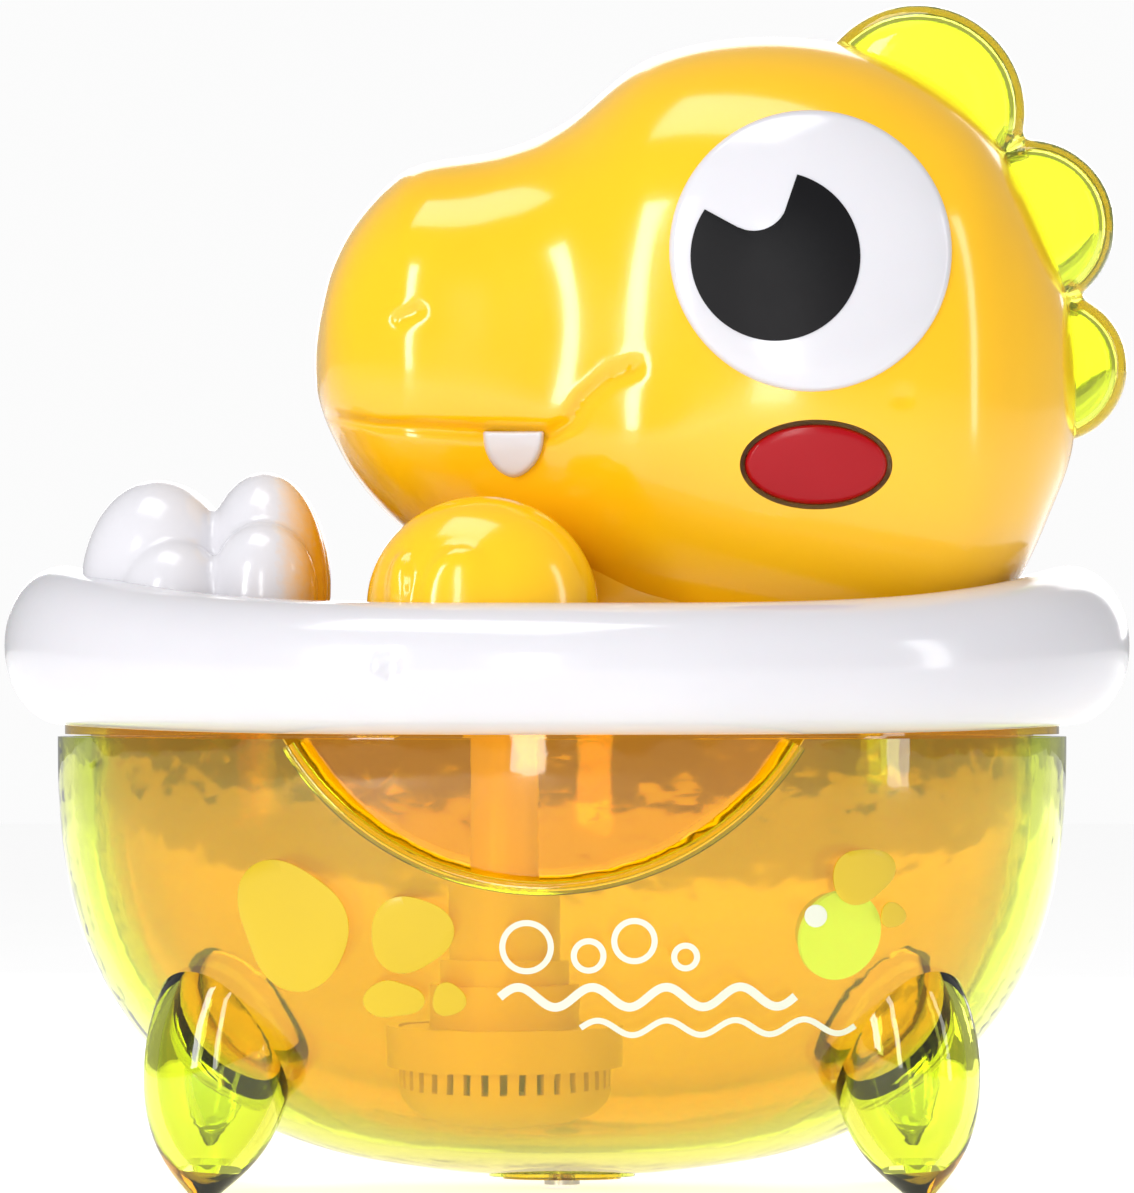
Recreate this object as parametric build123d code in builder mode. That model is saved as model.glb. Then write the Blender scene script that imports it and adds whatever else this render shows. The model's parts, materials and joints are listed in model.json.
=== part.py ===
from build123d import *
import os
from math import cos, pi, sin

# Bath foam toy: a dinosaur in a claw-foot bathtub.
# Millimetres, +Z up, the animal looks along -X, its left side is -Y.
# The origin is the middle of the footprint, on the surface the feet stand on.

os.makedirs("parts", exist_ok=True)

# ---------------------------------------------------------------- dimensions
WALL = 2.2                      # moulded shell thickness
TOUCH = 0.05                    # gap between moulded pieces that seat on each other
DEPTH_RATIO = 0.74              # width of every bath outline over its length

TUB_X = -0.75                   # middle of the tub along X
TUB_TOP = 68.3
TUB_BOTTOM = 2.1
TUB_HALF_LENGTH = 76.4
TUB_ROUNDNESS = 2.6             # superellipse exponent of the side profile
TUB_SHOULDER = 8.0              # straight part a cutting bowl keeps above the brim

TANK_HALF_LENGTH = 71.4
TANK_BOTTOM = 4.7
TANK_WALL = 1.8
TANK_LIP_HALF_LENGTH = 75.3
TANK_LIP_Z = 68.7
TANK_TOP = 74.0
BOSS_RADIUS = 9.0
BOSS_BOTTOM = 1.35
BOSS_GAP = 0.3                  # round the tank's boss where it passes through the tub
COLLAR_RADIUS = 11.1
COLLAR_STEP = 0.4               # how far the tub's collar stops short of the boss and tank
SCREW_RADIUS = 1.4
SCREW_HEAD_RADIUS = 2.7
SCREW_HEAD_HEIGHT = 1.6
SCREW_HEAD_SUNK = 0.9

SCOOP_X = -3.5                  # round scoop in the tub's long sides
SCOOP_Z = 90.9
SCOOP_RADIUS = 44.7

CLAW_X = 52.0                   # claw feet, from the tub's middle
CLAW_Y = 27.0
CLAW_WIDTH = 0.92
# level rings of a claw: height, radius, how far out its centre is as a share of the spread
CLAW_RINGS = ((44.0, 8.5, 0.80), (27.0, 11.0, 0.97), (13.0, 10.5, 1.0), (7.0, 8.3, 1.01),
              (3.0, 5.4, 1.02), (0.0, 2.4, 1.03))
CLAW_HOLLOW = ((44.0, 6.3, 0.80), (27.0, 8.8, 0.97), (13.0, 8.3, 1.0), (8.0, 6.0, 1.01),
               (5.0, 3.6, 1.015))

PLUG_X = 39.9                   # soft plug in the tank's left wall
PLUG_Y = -40.1
PLUG_Z = 39.5
PLUG_NORMAL = (0.468, -0.843, -0.268)
PLUG_DEPTH = 3.4
PLUG_HEAD_RADIUS = 6.8
PLUG_NECK_RADIUS = 5.4
PLUG_SEAT, PLUG_HEAD_THICK = 0.4, 0.8

RIM_HALF_LENGTH = 76.0          # centre line of the rolled rim
RIM_HALF_THICK = 9.2
RIM_MIDDLE_Z = 78.8
RIM_MIDDLE_HALF_HEIGHT = 9.8
RIM_END_RISE = 3.3
RIM_END_SWELL = 2.2
RIM_RAISE_POWER = 4
RIM_STATIONS = 12                # lofted sections round half the rim
RIM_CHANNEL_HALF_LENGTH = 76.5  # the slot under the rim that swallows the tank's lip

DECK_TOP = 76.2
DECK_HALF_LENGTH = 75.3

TORSO_X = 19.0
TORSO_HALF_LENGTH = 43.0
TORSO_HALF_WIDTH = 34.0
TORSO_TOP = 106.0
BOSS_SPREAD_X = 20.0             # screw bosses, from the torso's middle
BOSS_SPREAD_Y = 24.0
TORSO_BOSS_RADIUS, TORSO_BOSS_HEIGHT = 3.2, 9.0
DECK_SCREW_LENGTH = 8.0

STEM_X = -9.5                   # axis of the motor, blower, shaft, pump and strainer
SHAFT_RADIUS = 1.0
RUNNING_GAP = 0.05

HEAD_ROUNDNESS = 2.6
HEAD_MOUTH_TOP = 104.0          # the head is open below this, into the torso
HEAD_SCREW_SEAT, HEAD_SCREW_BITE = 6.0, 7.0
# cross-sections of the head along X: x, lowest z, highest z, half width
HEAD_SECTIONS = (
    (-37.9, 121.0, 129.0, 6.0),
    (-37.0, 117.5, 134.0, 12.0),
    (-35.4, 113.6, 139.7, 17.0),
    (-32.2, 107.9, 145.8, 21.5),
    (-27.0, 101.8, 151.8, 25.0),
    (-21.9, 98.5, 154.9, 27.0),
    (-10.0, 94.5, 157.0, 28.6),
    (0.0, 89.0, 161.3, 30.4),
    (12.5, 82.0, 170.8, 35.0),
    (29.0, 79.0, 174.1, 38.0),
    (45.8, 79.0, 172.0, 38.0),
    (59.5, 82.5, 164.7, 34.0),
    (68.0, 91.5, 153.5, 26.5),
    (73.9, 104.1, 140.5, 17.5),
    (76.3, 111.0, 131.5, 10.0),
    (77.0, 117.0, 125.5, 4.5),
)
HOLLOW_ENDS = 3                 # sections left solid at each end of the head
ROD_START, ROD_END = 20.0, 60.0  # |y| between which cutting rods cross the head's side

EYE_X, EYE_Z, EYE_RADIUS, EYE_PROUD = 36.4, 141.2, 21.2, 0.9
CHEEK_X, CHEEK_Z = 37.2, 109.2
CHEEK_HALF_LENGTH, CHEEK_HALF_HEIGHT = 11.4, 6.7
CHEEK_GAP = 0.55
CHEEK_PROUD = 0.8
BUTTON_TRAVEL = 1.5
BUTTON_STEM_END = 27.0
SWITCH_FACE = 25.2
SWITCH_BOARD_FACE = 22.0

TOOTH_X, TOOTH_TOP, TOOTH_TIP = -8.0, 114.4, 107.4
TOOTH_HALF_WIDTH = 4.6
TOOTH_INNER, TOOTH_OUTER = 25.4, 28.4

# crest lobes seen from the side: x, z, radius
CREST_LOBES = ((53.1, 162.8, 16.4), (69.8, 145.6, 13.2), (73.3, 124.2, 11.6))
CREST_HALF_THICK = 7.0
CREST_WALL = 2.0
LED_RADIUS = 2.4
LED_BACK, LED_LENGTH = 15.0, 8.6

HAND = (-12.6, 43.0, 88.0)
HAND_RADII = (17.3, 12.0, 16.5)
ELBOW = (12.0, 32.0, 92.0)
ARM_RADIUS = 9.5

# lumps of one foot: x, y, z of the centre and the three radii
FOOT_LUMPS = (
    ((-61.5, 17.0, 91.0), (11.6, 10.5, 16.0)),
    ((-45.5, 18.0, 91.0), (9.5, 10.5, 17.2)),
    ((-59.0, 24.0, 88.5), (9.0, 7.0, 9.8)),
    ((-45.5, 26.0, 90.0), (8.5, 6.5, 10.8)),
)

MOTOR_RADIUS, MOTOR_BOTTOM, MOTOR_TOP = 10.0, 104.0, 129.0
HOUSING_RADIUS, HOUSING_TOP = 11.8, 92.0
FAN_RADIUS, FAN_BOTTOM, FAN_TOP = 9.4, 81.0, 89.0
COUPLING_RADIUS, COUPLING_BOTTOM, COUPLING_TOP = 2.8, 94.5, 102.0
IMPELLER_RADIUS, IMPELLER_BOTTOM, IMPELLER_TOP = 7.5, 12.8, 17.0
CAP_FLANGE_RADIUS, CAP_FLANGE_BOTTOM, CAP_TOP = 18.0, 17.3, 23.8
CAP_SKIRT_RADIUS, CAP_BOTTOM, CAP_ROUND, CAP_WALL = 16.2, 8.7, 5.0, 1.6
CAP_GAP = 0.3                   # round the stem's foot inside the cap
CAP_SLOTS, SLOT_WIDTH, SLOT_BOTTOM, SLOT_TOP = 36, 1.1, 14.0, 17.1
BASE_RADIUS, BASE_BOTTOM = 15.8, 20.4
RISER_BORE = 3.6
# steps of the stem: radius, bottom, top
RISER_STEPS = ((15.8, 20.4, 23.5), (11.4, 23.5, 30.2), (9.8, 30.2, 34.1), (8.45, 34.1, 45.8),
               (5.15, 45.8, 68.0), (6.3, 68.0, 74.0))
HUB_RADIUS, BLADE = 2.2, 0.9
BUSH_BOTTOM, BUSH_HEIGHT = 26.0, 5.0
SHAFT_GRIP = 3.6

NOZZLE_X, NOZZLE_RADIUS, NOZZLE_TOP = -35.0, 10.6, 85.0
DUCT_WIDTH, DUCT_TOP = 13.0, 84.0
DRAIN_RADIUS = 1.5
MESH_PITCH, MESH_WIRE, MESH_THICK = 2.4, 0.7, 0.6

BOX_X, BOX_SIZE, BOX_TOP, BOX_WALL = 32.0, 36.0, 133.0, 1.6
CELL_RADIUS, CELL_LENGTH, CELL_SPREAD, CELL_BOTTOM = 7.15, 50.5, 8.0, 78.0
CELL_NUB, CONTACT_THICK = 1.0, 0.5
DOOR_LENGTH, DOOR_TOP, DOOR_BOTTOM = 42.0, 73.4, 71.4
HINGE_X, HINGE_Z, KNUCKLE_RADIUS, PIN_RADIUS = 9.2, 71.9, 1.9, 0.8
KNUCKLE_HALF = 8.0
LUG_WIDTH = 4.0
DOOR_SCREW_X = 55.0
DOOR_GAP = 0.4                  # between the knuckle and the door's edge
BOARD_LENGTH, BOARD_WIDTH, BOARD_THICK = 38.0, 32.0, 1.6
CHIP_LENGTH, CHIP_WIDTH, CHIP_THICK = 8.0, 10.0, 1.8
SPEAKER_SHIFT = 6.0             # from the middle of the board
MAGNET_RADIUS, MAGNET_HEIGHT = 7.0, 4.0
CONE_RADIUS, CONE_HEIGHT = 11.0, 3.0

HEAD_BOSSES = ((-27.0, 122.0), (10.0, 152.0), (65.0, 112.0))
HEAD_BOSS_RADIUS = 3.6


# ------------------------------------------------------------------- helpers
def finish(builder, name):
    """Label a finished piece and write it as its own file."""
    builder.part.label = name
    export_step(builder.part, f"parts/{name}.step")


def mirrored(solid):
    """The same piece on the other side of the animal."""
    return mirror(solid, about=Plane.XZ)


def bath(half_length, bottom, top):
    """Solid bath bowl: a superellipse turned about Z, narrowed across Y."""
    depth = TUB_TOP - bottom
    steps = 10
    wall = []
    for i in range(steps + 1):
        angle = pi / 2 * i / steps
        x = half_length * cos(angle) ** (2 / TUB_ROUNDNESS)
        wall.append((x, TUB_TOP - depth * sin(angle) ** (2 / TUB_ROUNDNESS)))
    with BuildPart() as blank:
        with BuildSketch(Plane.XZ):
            with BuildLine():
                Spline(wall, tangents=((0, -1), (-1, 0)))
                Polyline((0, bottom), (0, TUB_TOP), (half_length, TUB_TOP))
            make_face()
        revolve(axis=Axis.Z)
        if top > TUB_TOP:
            with BuildSketch(Plane.XY.offset(TUB_TOP)):
                Circle(half_length)
            extrude(amount=top - TUB_TOP)
        scale(by=(1, DEPTH_RATIO, 1))
    return blank.part.moved(Location((TUB_X, 0, 0)))


def bath_plate(half_length, bottom, top, centre_x=TUB_X):
    """Solid oval plate with the bath's outline."""
    with BuildPart() as plate:
        with BuildSketch(Plane((centre_x, 0, bottom))):
            Ellipse(half_length, half_length * DEPTH_RATIO)
        extrude(amount=top - bottom)
    return plate.part


def claw(side_x, side_y, rings):
    """One tapered claw, lofted through level rings."""
    with BuildPart() as solid:
        for height, radius, spread in rings:
            x = TUB_X + side_x * CLAW_X * spread
            y = side_y * CLAW_Y * spread
            with BuildSketch(Plane((x, y, height))):
                Ellipse(radius, radius * CLAW_WIDTH)
        loft()
    return solid.part


def rim_ring(inset):
    """The rolled rim's oval tube as one solid ring, lofted half by half."""
    with BuildPart() as ring:
        for i in range(RIM_STATIONS + 1):
            angle = pi * i / RIM_STATIONS
            ahead, behind = rim_centre(angle + 0.01), rim_centre(angle - 0.01)
            along = Vector(ahead[0] - behind[0], ahead[1] - behind[1], 0)
            side = Vector(along.Y, -along.X, 0)
            with BuildSketch(Plane(origin=rim_centre(angle), x_dir=side, z_dir=along)):
                Ellipse(RIM_HALF_THICK - inset, rim_half_height(angle) - inset)
        loft()
        mirror(about=Plane.XZ)
    return ring.part


def rim_raise(angle):
    return abs(cos(angle)) ** RIM_RAISE_POWER


def rim_centre(angle):
    x = RIM_HALF_LENGTH * cos(angle)
    y = RIM_HALF_LENGTH * DEPTH_RATIO * sin(angle)
    return (x, y, RIM_MIDDLE_Z + RIM_END_RISE * rim_raise(angle))


def rim_half_height(angle):
    return RIM_MIDDLE_HALF_HEIGHT + RIM_END_SWELL * rim_raise(angle)


def head_solid(grow, sections=HEAD_SECTIONS):
    """The head as one solid, its skin moved out by grow."""
    with BuildPart() as solid:
        for x, low, high, half_width in sections:
            middle = (low + high) / 2
            half_height = (high - low) / 2 + grow
            with BuildSketch(Plane(origin=(x, 0, middle), x_dir=(0, 1, 0), z_dir=(1, 0, 0))):
                with BuildLine():
                    Spline(section_points(half_width + grow, half_height), periodic=True)
                make_face()
        loft()
    return solid.part


def section_points(half_width, half_height):
    """Points round a superellipse, first one on the right."""
    count = 20
    points = []
    for i in range(count):
        c, s = cos(2 * pi * i / count), sin(2 * pi * i / count)
        y = half_width * abs(c) ** (2 / HEAD_ROUNDNESS) * (1 if c > 0 else -1)
        z = half_height * abs(s) ** (2 / HEAD_ROUNDNESS) * (1 if s > 0 else -1)
        points.append((y, z))
    return points


def side_rod(x, z, radius, inner_y, outer_y):
    """Round rod along Y on the left side, from |y| = inner to |y| = outer."""
    with BuildPart() as rod:
        with BuildSketch(Plane(origin=(x, -inner_y, z), x_dir=(1, 0, 0), z_dir=(0, -1, 0))):
            Circle(radius)
        extrude(amount=outer_y - inner_y)
    return rod.part


def side_oval(x, z, half_length, half_height, inner_y, outer_y):
    """Oval rod along Y on the left side."""
    with BuildPart() as rod:
        with BuildSketch(Plane(origin=(x, -inner_y, z), x_dir=(1, 0, 0), z_dir=(0, -1, 0))):
            Ellipse(half_length, half_height)
        extrude(amount=outer_y - inner_y)
    return rod.part


def stem_rod(radius, bottom, top):
    """Round rod on the stem's axis."""
    with BuildPart() as rod:
        with BuildSketch(Plane((STEM_X, 0, bottom))):
            Circle(radius)
        extrude(amount=top - bottom)
    return rod.part


def egg(centre, radii):
    """Smooth egg-shaped lump."""
    with BuildPart() as lump:
        Sphere(1)
        scale(by=radii)
    return lump.part.moved(Location(centre))


# ------------------------------------------------------------ tub and tank
tub_outside = bath(TUB_HALF_LENGTH, TUB_BOTTOM, TUB_TOP)
tub_inside = bath(TUB_HALF_LENGTH - WALL, TUB_BOTTOM + WALL, TUB_TOP + TUB_SHOULDER)
tank_outside = bath(TANK_HALF_LENGTH, TANK_BOTTOM, TANK_TOP)
tank_inside = bath(TANK_HALF_LENGTH - TANK_WALL, TANK_BOTTOM + TANK_WALL, TANK_TOP + TUB_SHOULDER)
corners = [(x, y) for x in (-1, 1) for y in (-1, 1)]

with BuildPart() as outer_tub:
    add(tub_outside)
    add([claw(x, y, CLAW_RINGS) for x, y in corners])
    add(tub_inside, mode=Mode.SUBTRACT)
    add([claw(x, y, CLAW_HOLLOW) for x, y in corners], mode=Mode.SUBTRACT)
    with BuildSketch(Plane((TUB_X, 0, BOSS_BOTTOM + COLLAR_STEP))):
        Circle(COLLAR_RADIUS)
    extrude(amount=TANK_BOTTOM - BOSS_BOTTOM - 2 * COLLAR_STEP)
    with BuildSketch(Plane((TUB_X, 0, 0))):
        Circle(BOSS_RADIUS + BOSS_GAP)
    extrude(amount=TANK_BOTTOM + WALL, mode=Mode.SUBTRACT)
    with BuildSketch(Plane(origin=(SCOOP_X, 0, SCOOP_Z), x_dir=(1, 0, 0), z_dir=(0, 1, 0))):
        Circle(SCOOP_RADIUS)
    extrude(amount=TUB_HALF_LENGTH, both=True, mode=Mode.SUBTRACT)
finish(outer_tub, "outer_tub")

plug_wall = Vector(PLUG_X, PLUG_Y, PLUG_Z)
plug_out = Vector(*PLUG_NORMAL)
plug_plane = Plane(origin=plug_wall, z_dir=plug_out)

with BuildPart() as inner_tank:
    add(tank_outside)
    add(bath_plate(TANK_LIP_HALF_LENGTH, TANK_LIP_Z, TANK_TOP))
    with BuildSketch(Plane((TUB_X, 0, BOSS_BOTTOM))):
        Circle(BOSS_RADIUS)
    extrude(amount=TANK_BOTTOM + TANK_WALL / 2 - BOSS_BOTTOM)
    add(tank_inside, mode=Mode.SUBTRACT)
    add(bath_plate(TANK_LIP_HALF_LENGTH - TANK_WALL, TANK_LIP_Z + TANK_WALL, TANK_TOP),
        mode=Mode.SUBTRACT)
    with BuildSketch(Plane((TUB_X, 0, BOSS_BOTTOM))):
        Circle(SCREW_RADIUS)
    extrude(amount=TANK_BOTTOM - BOSS_BOTTOM - COLLAR_STEP, mode=Mode.SUBTRACT)
    with BuildSketch(plug_plane.offset(-2 * PLUG_DEPTH)):
        Circle(PLUG_NECK_RADIUS)
    extrude(amount=4 * PLUG_DEPTH, mode=Mode.SUBTRACT)
finish(inner_tank, "inner_tank")

with BuildPart() as tank_plug:
    with BuildSketch(plug_plane.offset(-PLUG_DEPTH)):
        Circle(PLUG_NECK_RADIUS - TOUCH)
    extrude(amount=PLUG_DEPTH + PLUG_SEAT + PLUG_HEAD_THICK)
    with BuildSketch(plug_plane.offset(PLUG_SEAT)):
        Circle(PLUG_HEAD_RADIUS)
    extrude(amount=PLUG_HEAD_THICK)
finish(tank_plug, "tank_plug")

# ------------------------------------------------------- rim, deck, torso
rim_outside = rim_ring(0)
rim_hollow = rim_ring(WALL)

with BuildPart() as rim:
    add(rim_outside)
    add(rim_hollow, mode=Mode.SUBTRACT)
    add(bath_plate(RIM_CHANNEL_HALF_LENGTH, TUB_TOP - TUB_SHOULDER, DECK_TOP), mode=Mode.SUBTRACT)
finish(rim, "rim")

torso_outside = bath_plate(TORSO_HALF_LENGTH, DECK_TOP, TORSO_TOP, TORSO_X)
head_skin = head_solid(0)
boss_spots = [(TORSO_X + x * BOSS_SPREAD_X, y * BOSS_SPREAD_Y) for x, y in corners]
head_cavity = head_solid(-WALL, HEAD_SECTIONS[HOLLOW_ENDS:-HOLLOW_ENDS])

with BuildPart() as deck:
    add(bath_plate(DECK_HALF_LENGTH, TANK_TOP, DECK_TOP))
    with BuildSketch(Plane((STEM_X, 0, TANK_TOP))):
        Circle(RISER_BORE)
    with BuildSketch(Plane((NOZZLE_X, 0, TANK_TOP))):
        Circle(DRAIN_RADIUS)
    with BuildSketch(Plane((BOX_X, 0, TANK_TOP))):
        Rectangle(BOX_SIZE - 2 * BOX_WALL, BOX_SIZE - 2 * BOX_WALL)
    with BuildSketch(Plane((DOOR_SCREW_X, 0, TANK_TOP))):
        Circle(SCREW_RADIUS + BOSS_GAP)
    with BuildSketch(Plane((0, 0, TANK_TOP))):
        with Locations(*boss_spots):
            Circle(SCREW_RADIUS + TOUCH)
    extrude(amount=DECK_TOP - TANK_TOP, mode=Mode.SUBTRACT)
    lug_y = KNUCKLE_HALF + TOUCH * 4 + LUG_WIDTH / 2
    with BuildSketch(Plane.XZ.offset(-lug_y - LUG_WIDTH / 2)):
        with Locations((HINGE_X, HINGE_Z)):
            Circle(KNUCKLE_RADIUS)
        with Locations((HINGE_X, (HINGE_Z + TANK_TOP) / 2)):
            Rectangle(2 * KNUCKLE_RADIUS, TANK_TOP - HINGE_Z)
        with Locations((HINGE_X, HINGE_Z)):
            Circle(PIN_RADIUS, mode=Mode.SUBTRACT)
    extrude(amount=LUG_WIDTH)
    with BuildSketch(Plane.XZ.offset(lug_y - LUG_WIDTH / 2)):
        with Locations((HINGE_X, HINGE_Z)):
            Circle(KNUCKLE_RADIUS)
        with Locations((HINGE_X, (HINGE_Z + TANK_TOP) / 2)):
            Rectangle(2 * KNUCKLE_RADIUS, TANK_TOP - HINGE_Z)
        with Locations((HINGE_X, HINGE_Z)):
            Circle(PIN_RADIUS, mode=Mode.SUBTRACT)
    extrude(amount=LUG_WIDTH)
finish(deck, "deck")

with BuildPart() as torso:
    add(torso_outside)
    add(bath_plate(TORSO_HALF_LENGTH - WALL, DECK_TOP, TORSO_TOP, TORSO_X), mode=Mode.SUBTRACT)
    with BuildSketch(Plane.XY.offset(DECK_TOP)):
        with Locations(*boss_spots):
            Circle(TORSO_BOSS_RADIUS)
    extrude(amount=TORSO_BOSS_HEIGHT)
    with BuildSketch(Plane.XY.offset(DECK_TOP)):
        with Locations(*boss_spots):
            Circle(SCREW_RADIUS)
    extrude(amount=TORSO_BOSS_HEIGHT - WALL, mode=Mode.SUBTRACT)
    add(head_skin, mode=Mode.SUBTRACT)
    with BuildSketch(Plane((TORSO_X - TORSO_HALF_LENGTH, 0, DECK_TOP))):
        Rectangle(4 * WALL, DUCT_WIDTH)
    extrude(amount=DUCT_TOP - DECK_TOP, mode=Mode.SUBTRACT)
finish(torso, "torso")

with BuildPart() as deck_screws:
    with BuildSketch(Plane.XY.offset(TANK_TOP - SCREW_HEAD_HEIGHT)):
        with Locations(*boss_spots):
            Circle(SCREW_HEAD_RADIUS)
    extrude(amount=SCREW_HEAD_HEIGHT)
    with BuildSketch(Plane.XY.offset(TANK_TOP)):
        with Locations(*boss_spots):
            Circle(SCREW_RADIUS)
    extrude(amount=DECK_SCREW_LENGTH)
finish(deck_screws, "deck_screws")

# ---------------------------------------------------------------- head
eye_rod = side_rod(EYE_X, EYE_Z, EYE_RADIUS, ROD_START, ROD_END)
cheek_hole = side_oval(CHEEK_X, CHEEK_Z, CHEEK_HALF_LENGTH, CHEEK_HALF_HEIGHT,
                       ROD_START, ROD_END)
cheek_rod = side_oval(CHEEK_X, CHEEK_Z, CHEEK_HALF_LENGTH - CHEEK_GAP,
                      CHEEK_HALF_HEIGHT - CHEEK_GAP, ROD_START, ROD_END)
head_proud = head_solid(EYE_PROUD)

with BuildPart() as eye_left:
    add(eye_rod)
    add(head_proud, mode=Mode.INTERSECT)
    add(head_skin, mode=Mode.SUBTRACT)
finish(eye_left, "eye_left")

with BuildPart() as tooth_left:
    with BuildSketch(Plane.XZ.offset(TOOTH_INNER)):
        with BuildLine():
            tooth_side = TOOTH_X + TOOTH_HALF_WIDTH
            gum = Line((TOOTH_X - TOOTH_HALF_WIDTH, TOOTH_TOP), (tooth_side, TOOTH_TOP))
            Spline(gum @ 1, (TOOTH_X, TOOTH_TIP), gum @ 0, tangents=((0, -1), (0, 1)))
        make_face()
    extrude(amount=TOOTH_OUTER - TOOTH_INNER)
tooth_solid = tooth_left.part

with BuildPart() as teeth:
    add(tooth_solid)
    add(mirrored(tooth_solid))
finish(teeth, "teeth")

led_spots = []
for lobe_x, lobe_z, lobe_radius in CREST_LOBES:
    out = Vector(lobe_x - EYE_X, 0, lobe_z - EYE_Z).normalized()
    led_spots.append(Plane(origin=(lobe_x, 0, lobe_z), z_dir=out))

with BuildPart() as led_rods:
    for spot in led_spots:
        with BuildSketch(spot.offset(-LED_BACK)):
            Circle(LED_RADIUS + TOUCH)
        extrude(amount=LED_BACK)

with BuildPart() as head_bosses:
    with BuildSketch(Plane.XZ):
        with Locations(*HEAD_BOSSES):
            Circle(HEAD_BOSS_RADIUS)
    extrude(amount=ROD_END, both=True)
    add(head_solid(-WALL / 2), mode=Mode.INTERSECT)

with BuildPart() as head_shell:
    add(head_skin)
    add(head_cavity, mode=Mode.SUBTRACT)
    add(bath_plate(TORSO_HALF_LENGTH - 2 * WALL, DECK_TOP, HEAD_MOUTH_TOP, TORSO_X),
        mode=Mode.SUBTRACT)
    add(head_bosses.part)
    add([cheek_hole, mirrored(cheek_hole)], mode=Mode.SUBTRACT)
    add(teeth.part, mode=Mode.SUBTRACT)
    add(led_rods.part, mode=Mode.SUBTRACT)

with BuildPart() as head_left:
    add(head_shell.part)
    split(bisect_by=Plane.XZ, keep=Keep.TOP)
    with BuildSketch(Plane.XZ):
        with Locations(*HEAD_BOSSES):
            Circle(SCREW_RADIUS)
    extrude(amount=HEAD_SCREW_BITE + WALL, mode=Mode.SUBTRACT)
finish(head_left, "head_left")

with BuildPart() as head_right:
    add(head_shell.part)
    split(bisect_by=Plane.XZ, keep=Keep.BOTTOM)
    with BuildSketch(Plane.XZ):
        with Locations(*HEAD_BOSSES):
            Circle(SCREW_RADIUS + TOUCH)
    extrude(amount=-HEAD_SCREW_SEAT, mode=Mode.SUBTRACT)
    with BuildSketch(Plane.XZ.offset(-HEAD_SCREW_SEAT)):
        with Locations(*HEAD_BOSSES):
            Circle(SCREW_HEAD_RADIUS + 4 * TOUCH)
    extrude(amount=-ROD_END, mode=Mode.SUBTRACT)
finish(head_right, "head_right")

with BuildPart() as head_screws:
    with BuildSketch(Plane.XZ.offset(-HEAD_SCREW_SEAT)):
        with Locations(*HEAD_BOSSES):
            Circle(SCREW_HEAD_RADIUS)
    extrude(amount=-SCREW_HEAD_HEIGHT)
    with BuildSketch(Plane.XZ.offset(-HEAD_SCREW_SEAT)):
        with Locations(*HEAD_BOSSES):
            Circle(SCREW_RADIUS)
    extrude(amount=HEAD_SCREW_SEAT + HEAD_SCREW_BITE)
finish(head_screws, "head_screws")

with BuildPart() as eye_right:
    add(mirrored(eye_rod))
    add(head_proud, mode=Mode.INTERSECT)
    add(head_skin, mode=Mode.SUBTRACT)
finish(eye_right, "eye_right")

with BuildPart() as button_left:
    add(cheek_rod)
    add(head_solid(CHEEK_PROUD), mode=Mode.INTERSECT)
    add(head_solid(-WALL), mode=Mode.SUBTRACT)
    add(side_rod(CHEEK_X, CHEEK_Z, LED_RADIUS, BUTTON_STEM_END, BUTTON_STEM_END + 8))
finish(button_left, "button_left")

with BuildPart() as button_right:
    add(mirrored(button_left.part))
finish(button_right, "button_right")

with BuildPart() as switch_board_left:
    add(side_oval(CHEEK_X, CHEEK_Z, CHEEK_HALF_LENGTH, CHEEK_HALF_HEIGHT,
                  SWITCH_BOARD_FACE - 1.2, SWITCH_BOARD_FACE))
    add(side_rod(CHEEK_X, CHEEK_Z, 3, SWITCH_BOARD_FACE, SWITCH_FACE))
finish(switch_board_left, "switch_board_left")

with BuildPart() as switch_board_right:
    add(mirrored(switch_board_left.part))
finish(switch_board_right, "switch_board_right")

with BuildPart() as crest:
    with BuildSketch(Plane.XZ):
        for lobe_x, lobe_z, lobe_radius in CREST_LOBES:
            with Locations((lobe_x, lobe_z)):
                Circle(lobe_radius)
    extrude(amount=CREST_HALF_THICK, both=True)
    with BuildSketch(Plane.XZ):
        for lobe_x, lobe_z, lobe_radius in CREST_LOBES:
            with Locations((lobe_x, lobe_z)):
                Circle(lobe_radius - CREST_WALL)
    extrude(amount=CREST_HALF_THICK - CREST_WALL, both=True, mode=Mode.SUBTRACT)
    add(head_skin, mode=Mode.SUBTRACT)
finish(crest, "crest")

with BuildPart() as crest_leds:
    for spot in led_spots:
        with BuildSketch(spot.offset(-LED_BACK)):
            Circle(LED_RADIUS)
        extrude(amount=LED_LENGTH)
finish(crest_leds, "crest_leds")

# ------------------------------------------------------- arms and feet
with BuildPart() as arm_left:
    add(egg((HAND[0], -HAND[1], HAND[2]), HAND_RADII))
    with BuildLine():
        Line((HAND[0], -HAND[1], HAND[2]), (ELBOW[0], -ELBOW[1], ELBOW[2]))
    reach = Vector(ELBOW[0] - HAND[0], HAND[1] - ELBOW[1], ELBOW[2] - HAND[2])
    with BuildSketch(Plane(origin=(HAND[0], -HAND[1], HAND[2]), z_dir=reach)):
        Circle(ARM_RADIUS)
    extrude(amount=reach.length)
    add(rim_outside, mode=Mode.SUBTRACT)
    add(torso_outside, mode=Mode.SUBTRACT)
    add(head_skin, mode=Mode.SUBTRACT)
    add(bath_plate(DECK_HALF_LENGTH, TUB_TOP, DECK_TOP), mode=Mode.SUBTRACT)
finish(arm_left, "arm_left")

with BuildPart() as arm_right:
    add(mirrored(arm_left.part))
finish(arm_right, "arm_right")

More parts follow.
